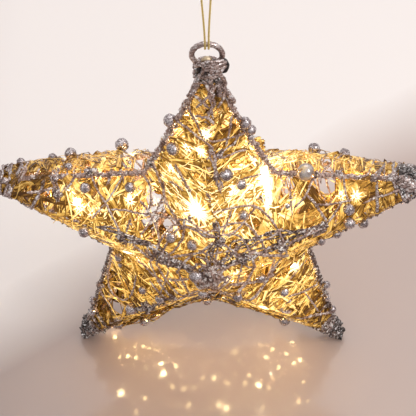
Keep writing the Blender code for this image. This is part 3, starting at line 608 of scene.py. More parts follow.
silver_glitter, taupe_glitter, dark_glitter, bead_glitter, ring_glitter, lilac_glitter = (
    glitter(*row) for row in GLITTERS)
print("six coats of glitter")

# %% [markdown]
# ## Where the lamps hang
#
# The lamps light the film from inside, so each point of the film is marked with how much lamp light it gets:
# a broad share from every lamp, and small bright cores where a lamp touches the film. The photograph shows
# where those are on the front; on the back they lie straight behind the lamps.
# The film's material turns that mark into its own warm light, which is steadier than tracing every ray
# through hundreds of layers and stays with the film from every side.

# %% The light string's line and the lamp light at a point
LEAD_IN = 0.0442  # where the lead leaves the case, behind the star's middle
LIGHT_SHARES = (  # x, y, z in shares of the star's radius, and 1 for a lamp
    (0, .20, .02, 0), (-.05, .02, .13, 1), (-.04, 0, .34, 0), (-.03, 0, .53, 1), (0, .10, .47, 1),
    (.12, .08, .36, 0), (.22, .03, .30, 1), (.21, .12, .20, 1), (.40, .04, .18, 0), (.62, 0, .22, 1),
    (.64, -.04, .17, 0), (.45, -.03, .06, 0), (.36, -.03, -.10, 0), (.37, -.02, -.26, 1),
    (.36, 0, -.42, 0), (.27, -.01, -.52, 1), (.16, -.05, -.38, 0), (.08, -.10, -.25, 1),
    (-.10, -.06, -.30, 0), (-.30, -.02, -.45, 1), (-.33, .02, -.32, 0), (-.32, 0, -.14, 1),
    (-.30, 0, .02, 0), (-.34, 0, .15, 1), (-.46, 0, .13, 0), (-.57, 0, .17, 1), (-.64, 0, .20, 0),
)
stops = np.array(LIGHT_SHARES, float)
lamp_line = CENTRE + STAR_RADIUS * stops[:, :3]
lamp_line = np.concatenate([[CENTRE + [0, LEAD_IN, 0]], lamp_line])
lamp_at = CENTRE + STAR_RADIUS * stops[stops[:, 3] > 0, :3]

CORES = np.array((  # x and y in the picture, and strength
    (198, 208, 3.6), (79, 204, 1.3), (206, 133, 1.2), (356, 194, 1.2), (201, 150, 0.9), (187, 146, 0.7),
    (264, 145, 0.8), (228, 278, 0.7), (264, 306, 0.9), (266, 170, 0.6), (236, 271, 0.5), (71, 190, 0.6),
    (152, 144, 0.6), (268, 203, 0.4), (92, 211, 0.5), (130, 199, 0.8), (341, 195, 0.6), (127, 161, 0.4),
    (127, 250, 0.9), (156, 199, 0.3), (296, 267, 0.6), (171, 168, 0.4), (233, 190, 0.4),
    (206, 98, 0.35), (222, 112, 0.35), (196, 118, 0.5), (265, 158, 0.5), (266, 181, 0.7), (267, 192, 0.5)))
CORE_OFFSET = 0.0022
core_at = seen_at(*CORES[:, :2].T, CORE_OFFSET)[0]
hit = np.isfinite(core_at).all(1)
print(int(hit.sum()), "of", len(CORES), "cores lie on the star")
behind = lamp_at - CENTRE
core_at = np.concatenate([core_at[hit], on_star(behind[:, 0], behind[:, 2], "back", CORE_OFFSET)])
core_strength = np.concatenate([CORES[hit, 2], np.full(len(lamp_at), 0.9)])


def lamp_light(points):
    """A tenth, plus 0.38 of a bell 44 mm wide over the distance to each lamp, 0.32 of one before the star's
    middle, where several lamps shine together, and for each bright core on the film its strength times a
    narrow bell and a broad one. A bell is e to minus the square of the distance over the width."""
    far = ((points[:, None] - lamp_at[None]) ** 2).sum(-1)
    near = ((points[:, None] - core_at[None]) ** 2).sum(-1)
    cores = 1.5 * np.exp(-near / 0.0034 ** 2) + 0.13 * np.exp(-near / 0.012 ** 2)
    middle = np.exp(-((points - CENTRE - [0.0, -0.02, 0.03]) ** 2).sum(-1) / 0.05 ** 2)
    return 0.10 + 0.38 * np.exp(-far / 0.044 ** 2).sum(1) + 0.32 * middle + cores @ core_strength


print(len(lamp_at), "lamps, light at the middle:", np.round(lamp_light(CENTRE[None]), 2))

# %% [markdown]
# ## Gold film
#
# The film is thin, see-through and gold, crumpled into flat facets with sharp creases. Each facet has its own
# tone, and fine crinkles run along the strip. Both set how the film shines and how much lamp light comes
# through: folded layers stay amber brown, thin places turn nearly white.

# %% Film material
def film(name, seen_share):
    """Each facet has its tone and each point its lamp light. A strip is darker along its two rims, where the
    sine of twice pi times the share round its profile is near zero. The light that comes through is the
    lamp light times a little plus the tone's steep power, and its colour goes from amber to nearly white.
    Film far from the lamps is darker."""
    material, node, give = new_material(name)
    run, lines = strip_map(node, (110.0, 7.0, 1.0))
    crinkle = noise(node, 1.0, 1.0, lines, Distortion=0.4)
    glow, tone = marked(node, "glow"), marked(node, "tone")
    round_share = node("ShaderNodeSeparateXYZ", {"Vector": run}).outputs["Y"]
    inward = maths(node, "ABSOLUTE", maths(node, "SINE", times(node, round_share, 2 * math.pi)))
    fold = plus(node, tone, span(node, crinkle, 0.35, 0.65, -0.2, 0.2))
    fold = span(node, plus(node, fold, span(node, inward, 0.08, 0.38, -0.6, 0.0)), 0, 1, 0, 1)
    through = plus(node, times(node, maths(node, "POWER", fold, 1.3), 1.30),
                   span(node, glow, 0.6, 1.4, 0.11, 0.30))
    heat = times(node, glow, through)
    skin = ramp(node, fold, (0.0, (0.10, 0.036, 0.008)), (0.35, (0.40, 0.19, 0.04)),
                (0.7, (0.72, 0.44, 0.12)), (1.0, (0.95, 0.74, 0.36)))
    # The base colour is darkened where the lamp light is low: painted shade.
    lit = span(node, glow, 0.15, 0.6, 0.4, 1.0)
    give(Emission_Color=ramp(node, times(node, heat, 0.7), (0.0, (0.62, 0.25, 0.03)),
                             (0.2, (0.88, 0.45, 0.06)), (0.45, (1.0, 0.62, 0.13)), (0.75, (1.0, 0.74, 0.27)),
                             (1.0, (1.0, 0.88, 0.56))),
         Emission_Strength=times(node, heat, 1.1),
         Base_Color=node("ShaderNodeHueSaturation", {"Color": skin, "Value": lit}).outputs["Color"],
         Metallic=0.6, Roughness=span(node, crinkle, 0.3, 0.7, 0.16, 0.32), Alpha=seen_share,
         Normal=bump(node, crinkle, 0.6, 0.0006))
    material.cycles.emission_sampling = "NONE"
    return material


gold_film = film("gold_film", 1.0)
clear_film = film("clear_film", 0.5)


def film_piece(name, forms, runs, tones, replaces=(), finish=gold_film, light=lamp_light):
    """A piece of film with flat facets, whose points are marked with the lamp light that they get."""
    piece = make_mesh(name, forms, runs, tones, smooth=False)
    set_mark(piece, "glow", light)
    return dress(piece, finish, replaces)


print("two thicknesses of gold film")

# %% [markdown]
# ## The hanging cord
#
# A loop of twisted gold thread hangs from the ring: two plies laid round each other, each wrapped in narrow
# metal tape. Its centre line repeats the solids' route, and the two plies are profiles carried along two
# helices about it. Something above the picture holds it taut, so it ends just outside the view.

# %% Cord route
BAR_D, CORD_D, SEAT_GAP = 0.0036, 0.0015, 0.0003
CORD_REACH, FOOT_X, LOOP_R = 0.0692, 0.0011, 0.0036
CORD_END_ANGLE = math.radians(65)
RING_TOP = np.array([0, 0, -0.0692])


def cord_route():
    """One half: from behind the bar round under it, then a soft rise to the loop's top, mirrored."""
    swing = math.pi - CORD_END_ANGLE
    turn = (BAR_D / 2 + SEAT_GAP + CORD_D / 2) / math.cos(swing / 10)
    angle = CORD_END_ANGLE + swing * np.arange(6) / 5
    under = np.stack([0 * angle + FOOT_X, turn * np.cos(angle), -turn * np.sin(angle)], -1)
    share = np.arange(1, 13) / 12
    ease = share ** 2 * (3 - 2 * share)
    climb = CORD_REACH - CORD_D / 2 - LOOP_R
    strand = np.stack([FOOT_X + (LOOP_R - FOOT_X) * ease, -turn * (1 - ease), climb * share], -1)
    bow = np.pi / 2 * np.arange(1, 4) / 4
    arch = np.stack([LOOP_R * np.cos(bow), 0 * bow, climb + LOOP_R * np.sin(bow)], -1)
    half = np.concatenate([under, strand, arch])
    top = [[0, 0, climb + LOOP_R]]
    return np.concatenate([half * [-1, 1, 1], top, half[::-1]]) + RING_TOP


route = cord_route()
cord_line = softened(resampled(route, 0.0005), 1)

# %% Cord material: metal tape wound round each ply
def tape_gold(name):
    """Slanting bright bands of tape over a darker core, read along and round each ply."""
    material, node, give = new_material(name)
    slant = strip_map(node, (1500.0, 1.0, 1.0))[1]
    band = node("ShaderNodeTexWave", {"Vector": slant}, Scale=0.32, Distortion=0.7).outputs["Fac"]
    mixed = plus(node, times(node, band, 0.6), times(node, noise(node, 2200.0), 0.45))
    give(Base_Color=ramp(node, mixed, (0.15, (0.36, 0.21, 0.03)), (0.45, (0.90, 0.62, 0.14)),
                         (0.8, (1.0, 0.88, 0.42))),
         Metallic=0.5, Roughness=0.30, Normal=bump(node, mixed, 0.5, 0.0002))
    return material


lurex = tape_gold("cord_tape")


# %% Cord and its lashing
def plies(line, aside, wide, pitch, count=2, sides=7):
    """Thin rounds carried along helices about a line: each ply's middle goes round the line once a pitch."""
    run = length_along(line)
    forms, runs = [], []
    for k in range(count):
        angle = 2 * np.pi * (run / pitch + k / count)
        middle = rings_along(line, aside, circle(angle)[:, None] * wide / 4)[:, 0]
        forms.append(rings_along(middle, aside, round_profile(np.full(len(line), wide / 4), sides)))
        runs.append(run + k)
    return forms, runs


turned = np.clip((cord_line[:, 2] + 0.03) / 0.02, 0, 1)[:, None]
cord_aside = unit((1 - turned) * np.array([1.0, 0, 0]) + turned * np.array([0, 1.0, 0]))
cord_forms, cord_runs = plies(cord_line, cord_aside, CORD_D, 0.0032)
cord = add_piece("hanging_cord_twist", cord_forms, lurex, ["hanging_cord"], cord_runs)

HITCH_W, HITCH_H, HITCH_T, HITCH_CLEAR, HITCH_TURNS = 0.0068, 0.0028, 0.0022, 0.0009, 3.3
away = np.array([0, math.cos(CORD_END_ANGLE), -math.sin(CORD_END_ANGLE)])
onward = np.array([0, math.sin(CORD_END_ANGLE), math.cos(CORD_END_ANGLE)])
hitch_mid = RING_TOP + away * (BAR_D / 2 + HITCH_CLEAR + HITCH_T / 2) + onward * (SEAT_GAP + HITCH_H / 2)
hitch_at = np.linspace(0, 1, 150)[:, None]
hitch_angle = 2 * np.pi * HITCH_TURNS * hitch_at
hitch_line = (hitch_mid + np.array([1.0, 0, 0]) * (HITCH_W / 2 - 0.0006) * np.cos(hitch_angle)
              + away * (HITCH_T / 2 - 0.0004) * np.sin(hitch_angle)
              + onward * (HITCH_H / 2 - 0.0005) * (2 * hitch_at - 1))
hitch_forms, hitch_runs = plies(hitch_line, onward, 0.0011, 0.0028)
lashing = add_piece("cord_lashing", hitch_forms, lurex, ["cord_hitch"], hitch_runs)

# %% [markdown]
# ## The wound film
#
# On the real star the film is wound round each arm in every direction until the wires hardly show. Here each
# face of each arm gets broad bands below, narrower ones over them and fine threads of film on top, and a few
# clear panes fill larger gaps. A strip is a chord across the arm's kite-shaped plan, bowed and wavered, laid
# on the grown star and crumpled into facets. No strip crosses the openings that the photograph shows, so
# those keep the straight-sided shapes that wound strips leave between them.

# %% Openings in the net, as places in the picture with their radius
CASE_MARGIN = 0.002
SEE_THROUGH = ((157, 200, 5.5), (147, 222, 4.5), (171, 221, 5), (320, 190, 5), (330, 192, 5.5),
               (289, 188, 4.5), (238, 162, 2), (64.5, 164.5, 3), (127, 157, 3.5), (140, 164, 4.5),
               (328, 169, 2.5), (246, 277, 3.5), (118, 308, 4.5), (49.5, 193, 2), (156, 153.5, 2.5))
DARK_INSIDE = ((121, 294, 3), (100, 307, 3.5), (114, 277.5, 3.5), (180, 307, 2))


def before_case(places):
    """Whether points of the back net lie over the battery case, whose lid stays bare."""
    low, high = (np.array(corner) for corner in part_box("battery_case"))
    over = (places > low - CASE_MARGIN) & (places < high + CASE_MARGIN)
    return over[..., 0] & over[..., 2] & (places[..., 1] > 0)


def clear_of_openings(places, out, spare):
    """For rows of points with their outward directions: whether all points of a row stay clear of the case
    and of every opening in the picture by its radius plus spare. A dark opening counts on the near side of
    the star."""
    seen = in_picture(places)
    near = out @ back > 0
    free = ~before_case(places).any(1)
    for x, y, size in SEE_THROUGH + DARK_INSIDE:
        away_from_it = np.hypot(seen[..., 0] - x, seen[..., 1] - y) > size + spare / POINT_WIDE
        if (x, y, size) in DARK_INSIDE:
            away_from_it |= ~near
        free &= away_from_it.all(1)
    return free


print(len(SEE_THROUGH), "openings go through and", len(DARK_INSIDE), "show the dark inside")

# %% Strips across one face of an arm
NET_TOP, NET_LOW = 0.0030, 0.0014


def some_chords(count, stations, bow_share, cross_share, margin):
    """Random chords through the kite in plan: a point, a direction, and the walk both ways to the kite's
    sides, then bowed sideways. Gives u and v, one row for each chord."""
    u0 = STAR_RADIUS * np.where(rng.random(count) < 0.42, rng.uniform(0.04, 0.5, count),
                                rng.uniform(0.3, 0.93, count))
    limit = np.minimum(u0 * VALLEY_RATE, edge_at(u0, 0)[0])
    v0 = rng.uniform(-0.9, 0.9, count) * limit
    angle = np.where(rng.random(count) < cross_share, rng.normal(np.pi / 2, 0.5, count),
                     rng.uniform(0, np.pi, count))
    du, dv = np.cos(angle), np.sin(angle)
    sides = np.array([[-VALLEY_RATE, 1, 0], [-VALLEY_RATE, -1, 0],
                      [1 / STAR_RADIUS, EDGE_RATE, 0.985], [1 / STAR_RADIUS, -EDGE_RATE, 0.985]])
    rate = sides[:, :1] * du + sides[:, 1:2] * dv
    room = sides[:, 2:] - sides[:, :1] * u0 - sides[:, 1:2] * v0
    ahead = np.where(rate > 1e-9, room / np.where(rate > 1e-9, rate, 1), np.inf).min(0)
    behind = np.where(rate < -1e-9, room / np.where(rate < -1e-9, rate, 1), -np.inf).max(0)
    long = rng.uniform(0.035, 0.08, count)
    ahead, behind = np.minimum(ahead, long * 0.6), np.maximum(behind, -long * 0.6)
    at = np.linspace(0, 1, stations)[None]
    t = behind[:, None] + (ahead - behind)[:, None] * at
    bow = (ahead - behind) * rng.normal(0, bow_share, count)
    wander = bow[:, None] * 4 * at * (1 - at) + 0.0010 * waves(count, stations, 3)
    u = u0[:, None] + t * du[:, None] - wander * dv[:, None]
    v = v0[:, None] + t * dv[:, None] + wander * du[:, None]
    u = np.clip(u, 0.001, 0.97 * STAR_RADIUS)
    limit = np.maximum(np.minimum(u * VALLEY_RATE, edge_at(u, 0)[0] - margin), 0)
    return u, np.clip(v, -limit, limit)


def chords(arm, side, count, stations, bow_share, cross_share, spare):
    """Chords that keep clear of the openings by spare more than their radius: drawn again until enough
    are left."""
    found_u, found_v = np.zeros((0, stations)), np.zeros((0, stations))
    while len(found_u) < count:
        u, v = some_chords(count, stations, bow_share, cross_share, 0.0004 + 1.2 * spare)
        free = clear_of_openings(on_arm(arm, side, u, v, 0.002), facing(arm, side, v), spare)
        found_u, found_v = np.concatenate([found_u, u[free]]), np.concatenate([found_v, v[free]])
    return found_u[:count], found_v[:count]


def strips(centre, out, width, thick, crease):
    """Crumpled strips along rows of points: at each station two edges and between them a fold that goes up
    and down by turns, up to crease times the half width, with a second skin just under it."""
    count, stations = centre.shape[:2]
    along = unit(np.gradient(centre, axis=1))
    across = unit(np.cross(out, along))
    over = np.cross(along, across)
    half = (width / 2)[..., None]
    shape = (count, stations, 1)
    turn = np.where((np.arange(stations)[None] + rng.integers(0, 2, (count, 1))) % 2, 1, -1)[..., None]
    fold = turn * rng.uniform(0.1, 1, shape) * crease * half
    middle = centre + across * half * rng.uniform(-0.5, 0.5, shape) + over * fold
    edges = [centre + k * across * half * (1 + rng.uniform(-0.15, 0.15, shape))
             + over * half * rng.uniform(-0.5, 0.5, shape) * crease for k in (1, -1)]
    forms = np.stack([edges[0], middle + over * thick / 2, edges[1], middle - over * thick / 2], 2)
    return list(forms)


def facet_tones(count, stations, middle, contrast=1.6):
    """A tone for each facet: partly the strip's own, partly the facet's, spread about the middle."""
    strip, facet = rng.beta(1.3, 1.5, (count, 1, 1)), rng.beta(0.8, 0.8, (count, stations - 1, 4))
    return list(np.clip(middle + contrast * (0.6 * strip + 0.4 * facet - 0.5), 0, 1))


PRESSED, PRESS_WIDE = 0.3, 0.009


def press(u, v):
    """The share of its height over the wires that film keeps: 0.3 at the outline, all of it from 9 mm inside
    on."""
    return PRESSED + (1 - PRESSED) * np.clip((edge_at(u, 0)[0] - np.abs(v)) / PRESS_WIDE, 0, 1)


def face_strips(arm, side, count, stations, wide, thick, low, high, bow, cross, crease):
    """Strip forms on one face of an arm with widths between wide's two numbers."""
    u, v = chords(arm, side, count, stations, bow, cross, wide[1] * 0.3)
    lift = np.linspace(low, high, count)[rng.permutation(count), None] + 0.0005 * waves(count, stations, 4)
    width = rng.uniform(*wide, count)[:, None] * (1 + 0.3 * waves(count, stations, 4))
    width = np.clip(width, 0.3 * wide[0], 1.4 * wide[1])
    centre = on_arm(arm, side, u, v, (lift + fuller(arm, side, u)) * press(u, v))
    runs = [length_along(line) + 3.1 * k for k, line in enumerate(centre)]
    return strips(centre, facing(arm, side, v), width, thick, crease), runs


# Each arm's film tone is moved: the feet darker and with more contrast, so more facets are dark, as painted
# shade of the lower arms; the right arm lighter.
ARM_SHADE_SHIFT = {"top": -0.03, "left": -0.02, "foot_left": -0.05, "foot_right": -0.09, "right": 0.07}
CONTRAST = {"top": 2.1, "left": 2.0, "foot_left": 2.6, "foot_right": 2.5, "right": 2.0}
STRIP_KINDS = (  # count, stations, widths, thickness, low and high place, bow, crossing share, crease, tone
    (24, 9, (0.0044, 0.0085), 0.0005, NET_LOW - 0.0006, 0.0020, 0.06, 0.6, 0.22, 0.40),
    (48, 11, (0.0018, 0.0040), 0.0004, NET_LOW, NET_TOP, 0.11, 0.5, 0.32, 0.52),
    (84, 14, (0.0004, 0.0011), 0.0003, NET_LOW, 0.0036, 0.12, 0.45, 0.6, 0.56))
PANES = (8, 16, (0.0050, 0.0080), 0.0003, 0.0008, 0.002, 0.04, 0.4, 0.3)


def film_face(arm, side):
    """The whole net of one face of one arm, and a few clear panes. The feet's backs get less light."""
    forms, runs, tones = [], [], []
    for *kind, tone in STRIP_KINDS:
        more, more_runs = face_strips(arm, side, *kind)
        forms, runs = forms + more, runs + more_runs
        tones += facet_tones(*kind[:2], tone + ARM_SHADE_SHIFT[arm], CONTRAST[arm])
    share = 0.45 if side == "back" and arm.startswith("foot") else 1.0
    film_piece(f"film_{side}_{arm}", forms, runs, tones, [f"film_net_{side}_{arm}"],
               light=lambda points: share * lamp_light(points))
    panes, pane_runs = face_strips(arm, side, *PANES)
    film_piece(f"film_pane_{side}_{arm}", panes, pane_runs, facet_tones(*PANES[:2], 0.5, 1.1),
               finish=clear_film)


for side in DEPTH:
    for arm in ARMS:
        film_face(arm, side)

# %% [markdown]
# Some broad clear bands are seen in the photograph. They are laid where it shows them, with their width in
# picture points and their own tone.

# %% The broad bands that the photograph shows
SHEETS = (  # the line in the picture, the width in picture points, the tone
    (((263, 166), (266, 180), (269, 196), (269, 212), (266, 226)), 8, 0.72),
    (((212, 86), (217, 96), (222, 106), (226, 114)), 11, 0.30),
    (((352, 194), (364, 187), (378, 180)), 17, 0.42), (((292, 222), (306, 219), (326, 212)), 13, 0.50),
    (((34, 184), (42, 178), (51, 172)), 10, 0.22), (((90, 184), (95, 192), (98, 202)), 10, 0.35),
    (((66, 176), (74, 186), (82, 196)), 10, 0.55), (((8, 184), (14, 177), (20, 172)), 9, 0.45),
    (((150, 262), (160, 268), (170, 276)), 10, 0.6), (((222, 285), (236, 281), (250, 279)), 7, 0.6),
    (((155, 301), (170, 300), (186, 297)), 6, 0.7),
)
SHEET_AT, SHEET_STEP = 0.0026, 0.0021
sheet_forms, sheet_runs, sheet_tones = [], [], []
for line, wide, tone in SHEETS:
    wide *= POINT_WIDE
    for path, out in seen_path(line, SHEET_AT):
        path = softened(resampled(path, SHEET_STEP), 1)
        out = np.broadcast_to(out.mean(0), path.shape)
        for part in (-0.25, 0.25):
            aside = unit(np.cross(out, unit(np.gradient(path, axis=0)))) * part * wide
            width = 0.62 * wide * (0.8 + 0.4 * rng.random((1, len(path))))
            sheet_forms += strips((path + aside)[None], out[None], width, 0.0003, 0.22)
            sheet_runs.append(length_along(path))
            sheet_tones += facet_tones(1, len(path), tone, 1.0)
film_piece("film_sheets", sheet_forms, sheet_runs, sheet_tones, finish=clear_film)

# %% [markdown]
# ## Rays of film round the bright cores
#
# Where a lamp touches the film, the creases that point away from it shine most and look like rays. Each core
# gets a handful of thin strips on the film, from the core outwards, with a high tone and extra lamp light:
# painted highlight. Inside the star short loose ends of film surround each lamp in all directions, as far as
# they stay within the outline.

# %% Rays on the film and film ends round each lamp
def ray_strips(middle, strength, count, stations=6):
    """Thin strips that start near a core and run outwards over the star, longer for a stronger core."""
    forms, runs = [], []
    for k in range(count):
        turn = 2 * np.pi * (k + rng.uniform(-0.4, 0.4)) / count
        reach = np.linspace(0.0008, 0.002 + strength * rng.uniform(0.0012, 0.0038), stations)
        x = middle[0] - CENTRE[0] + reach * math.cos(turn)
        z = middle[2] - CENTRE[2] + reach * math.sin(turn)
        height = 0.0034 + 0.0004 * strength + rng.uniform(-0.0006, 0.0004)
        path = on_star(x, z, "front" if middle[1] < 0.005 else "back", press(*arm_plan(x, z)) * height)
        if not on_plan(x, z).all() or before_case(path).any():
            continue
        out = unit(path - CENTRE)
        width = np.linspace(0.0012 + 0.0004 * strength, 0.0003, stations)[None] * rng.uniform(0.6, 1.1)
        forms += strips(path[None], out[None], width, 0.0003, 0.4)
        runs.append(length_along(path))
    return forms, runs


def tuft(lamp, count, stations):
    """Strips from 3 mm outside the lamp outwards along random directions, 7 to 17 mm long and thinning."""
    direction = unit(rng.normal(size=(count, 3)) * [1, 0.75, 1])
    long = rng.uniform(0.007, 0.017, count)[:, None]
    at = np.linspace(0, 1, stations)[None]
    bend = unit(rng.normal(size=(count, 3)))[:, None] * (0.003 * at ** 2)[..., None]
    path = lamp + direction[:, None] * (0.003 + long * at)[..., None] + bend
    width = rng.uniform(0.0014, 0.0036, (count, 1)) * (1 - 0.75 * at)
    aside = np.broadcast_to(unit(rng.normal(size=(count, 1, 3))), path.shape)
    return strips(path, aside, width, 0.0003, 0.4), list(long * at)


ray_forms, ray_runs = gathered(ray_strips(middle, strength, 4 + int(8 * strength))
                               for middle, strength in zip(core_at, core_strength))
# Their high tone and the extra 0.15 of lamp light are painted highlight.
film_piece("film_rays", ray_forms, ray_runs, np.full(len(ray_forms), 0.82),
           light=lambda points: 0.15 + lamp_light(points))

TUFT_STRIPS, TUFT_STATIONS = 30, 7
ends = [*gathered(tuft(lamp, TUFT_STRIPS, TUFT_STATIONS) for lamp in lamp_at)]
ends.append(facet_tones(len(ends[0]), TUFT_STATIONS, 0.6))
kept = [k for k, form in enumerate(ends[0]) if on_plan(form[..., 0], form[..., 2] - CENTRE[2], 0.01).all()]
print(len(kept), "of", len(ends[0]), "film ends stay within the outline")
film_piece("film_tufts", *([lot[k] for k in kept] for lot in ends))

# %% [markdown]
# Behind the middle of the net lies the battery case. Crumpled film is pressed in before it and over the inner
# part of its upper side, so that one sees gold through the gaps and not the plastic. The lid stays free.

# %% Film pressed in before the case and over it
case_low, case_high = (np.array(corner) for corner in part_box("battery_case"))
INNER, OVER, BENDS = 60, 40, 9  # strips before the case, strips over it, and the stations of each
way = np.linspace(-1, 1, BENDS)


def facing_strips(places, outward, width, thick, crease):
    """Strips along rows of x, y and z that all face outward."""
    path = np.stack(places, -1)
    return strips(path, np.broadcast_to(np.array(outward), path.shape), width, thick, crease)


inner_turn = rng.uniform(0, np.pi, (INNER, 1))
inner_long = rng.uniform(0.010, 0.022, (INNER, 1)) * way
inner_x = rng.uniform(case_low[0], case_high[0], (INNER, 1)) + inner_long * np.cos(inner_turn)
inner_z = rng.uniform(case_low[2], case_high[2], (INNER, 1)) + inner_long * np.sin(inner_turn)
inner_x = np.clip(inner_x, case_low[0], case_high[0])
inner_z = np.clip(inner_z, case_low[2] - 0.004, case_high[2] + 0.002)
inner_y = case_low[1] - rng.uniform(0.002, 0.009, (INNER, 1)) + 0.0012 * waves(INNER, BENDS, 2)
inner_width = rng.uniform(0.005, 0.010, (INNER, 1)) * (0.7 + 0.6 * rng.random((INNER, BENDS)))
inner_forms = facing_strips([inner_x, inner_y, inner_z], (0.0, -1.0, 0.0), inner_width, 0.0004, 0.35)

over_depth = np.linspace(-0.001, 0.0155, OVER)[:, None]
over_x = rng.uniform(case_low[0] + 0.004, case_high[0], (OVER, 1))
over_x[OVER // 3::2] = case_high[0] - 0.006
over_x = np.clip(over_x + rng.uniform(0.005, 0.014, (OVER, 1)) * way, case_low[0], case_high[0] + 0.001)
over_y = case_low[1] + over_depth + 0.0005 * waves(OVER, BENDS, 2)
over_z = (case_high[2] + 0.0014 + rng.uniform(0, 1, (OVER, 1)) * np.maximum(over_depth - 0.009, 0) * 0.5
          + 0.0005 * waves(OVER, BENDS, 3))
over_forms = facing_strips([over_x, over_y, over_z], (0.0, 0.0, 1.0),
                           rng.uniform(0.0025, 0.0042, (OVER, BENDS)), 0.0003, 0.5)
# Film over the case gets 1.3 times the lamp light and film before it 0.55 times: painted light and shade.
film_piece("film_inside", inner_forms + over_forms, list(inner_long + 0.03) + list(over_x + 0.06),
           facet_tones(INNER + OVER, BENDS, 0.45, 1.5),
           light=lambda points: np.where(points[:, 2] > case_high[2], 1.3, 0.55) * lamp_light(points))

# %% [markdown]
# Between the feet the winding goes straight from one to the other and sags below the wires, so that the lower
# rim is a soft curve. The rim is read from the photograph, and strips lie between it and the wires.

# %% The sagging rim between the feet: picture x, y of the wires and y of the rim
SAG = np.array((
    (106, 327, 329), (118, 322, 328), (133, 315, 324), (146, 309, 323), (156, 306, 320), (165, 303, 314),
    (172, 301, 309), (180, 299, 307), (192, 295, 303), (207, 292, 300), (215, 293, 300), (227, 297, 302),
    (237, 301, 307), (249, 305, 308), (264, 311, 312.5), (276, 314, 317), (288, 318, 321)))
SAG_EASE = 10  # picture points from either end over which the rim comes back to the wires
SAG_DEEP = 0.004
SAG_STATIONS = 10


def sagging(count, stations, least, most):
    """Lines along the rim, least to most picture points long, at random shares between wires and rim, on
    upright planes up to 4 mm before or behind the wires, and nearer to them at the rim."""
    x = rng.uniform(SAG[0, 0], SAG[-1, 0] - least, (count, 1))
    x = np.minimum(x + rng.uniform(least, most, (count, 1)) * np.linspace(0, 1, stations), SAG[-1, 0])
    share = np.clip(rng.uniform(0, 0.95, (count, 1)) + 0.22 * waves(count, stations, 1.5), -0.1, 0.97)
    share *= np.clip(np.minimum(x - SAG[0, 0], SAG[-1, 0] - x) / SAG_EASE, 0, 1)
    wires, rim = (np.interp(x, SAG[:, 0], SAG[:, k]) for k in (1, 2))
    y = wires + share * (rim - wires)
    plane = SAG_DEEP * rng.uniform(-1, 1, (count, 1)) * np.sqrt(1 - 0.9 * np.clip(share, 0, 1) ** 2)
    ray = ray_through(x, y)
    return eye + ray * ((plane - eye[1]) / ray[..., 1])[..., None]


sag_forms, sag_runs, sag_tones = [], [], []
for count, wide, tone in ((30, (0.0026, 0.0044), 0.36), (50, (0.0010, 0.0022), 0.46)):
    lines = sagging(count, SAG_STATIONS, 14, 46)
    out = np.broadcast_to(unit(np.array([0, -1.0, -0.5]) + rng.normal(0, 0.4, (count, 1, 3))), lines.shape)
    width = rng.uniform(*wide, (count, 1)) * (0.8 + 0.4 * rng.random((count, SAG_STATIONS)))
    sag_forms += strips(lines, out, width, 0.0004, 0.4)
    sag_runs += [length_along(line) for line in lines]
    sag_tones += facet_tones(count, SAG_STATIONS, tone, 2.0)
film_piece("film_between_feet", sag_forms, sag_runs, sag_tones)
sag_lines = sagging(9, 40, 26, 70)

# %% [markdown]
# ## Glittered wires
#
# The wires were rolled in glue and glitter, so their thickness goes up and down. Each wire's line is read
# from its own solid, and a round profile with lumps is carried along it.

# %% Outline wires and ridges
def coated(line, out, radius, rough, sides=8, seed=1, size=0.0035, fine=0.5):
    """A round profile whose radius is the plain one plus a share of lumps in space, and a fine share of them
    again at less than half the size, closed to small ends."""
    around = rings_along(line, out, round_profile(np.full(len(line), radius), sides))
    swell = 1 + rough * two_lumps(around, size, seed, fine)
    at = np.minimum(np.arange(len(line)), np.arange(len(line))[::-1])
    swell = np.maximum(swell, 0.35) * np.minimum(1, 0.35 + 0.4 * at)[:, None]
    return line[:, None] + (around - line[:, None]) * swell[..., None]


def wrapped(line, radius, rough, seed, size=0.002, middle=CENTRE, sides=6, fine=0.5):
    """A coated thread that lies round the middle."""
    return coated(line, unit(line - middle), radius, rough, sides, seed, size, fine)


def axis_of(node):
    """The two ends of a straight solid: its mean point moved along its longest direction."""
    points = points_of(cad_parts[node])
    mean = points.mean(0)
    along = np.linalg.svd(points - mean, full_matrices=False)[2][0]
    reach = (points - mean) @ along
    return mean + along * reach.min(), mean + along * reach.max()


ASLANT = np.array([0.1, 1.0, 0.2])  # a direction that no wire runs along


def helix_on(line, reach, pitch, start):
    """A path round a straight line: the line plus reach times the cosine and sine of an angle that grows by
    a full turn each pitch."""
    angle = 2 * np.pi * (length_along(line) / pitch + start)
    return rings_along(line, ASLANT, reach * circle(angle)[:, None])[:, 0]


WIRE_R, STATIONS = 0.00165, 320
for arm in ARMS:
    names = [f"outline_wire_{arm}_a", f"outline_wire_{arm}_b", f"front_ridge_{arm}", f"back_ridge_{arm}"]
    for k, name in enumerate(names):
        start, stop = axis_of(name)
        line = start + (stop - start) * np.linspace(0, 1, STATIONS)[:, None]
        forms = [coated(line[::4], ASLANT, WIRE_R, 0.28, seed=10 + 4 * ARMS.index(arm) + k)]
        outer = arm.startswith("foot") and abs(line[:, 0].mean()) > 0.06
        heavy = k < 2 and (line[:, 2].mean() < CENTRE[2] + 0.03 or arm == "top") and not outer
        for pitch in (0.0085, -0.013) if heavy else (0.012, -0.019):
            path = helix_on(line[6:-6], 0.0018 if heavy else 0.0013, pitch, rng.uniform())
            radius = rng.uniform(0.0006, 0.0009) * (1 if heavy else 0.8)
            forms.append(coated(path, unit(path - line[6:-6]), radius, 0.5, 6, 40 + k, 0.0022))
        # The lower outline wires and the feet's outer wires get the darker copy of the silver glitter:
        # painted shade of the star's lower half.
        finish = taupe_glitter if outer or heavy and arm != "top" else silver_glitter
        add_piece(name.replace("wire", "glitter") + "_coat", forms, finish, [name])

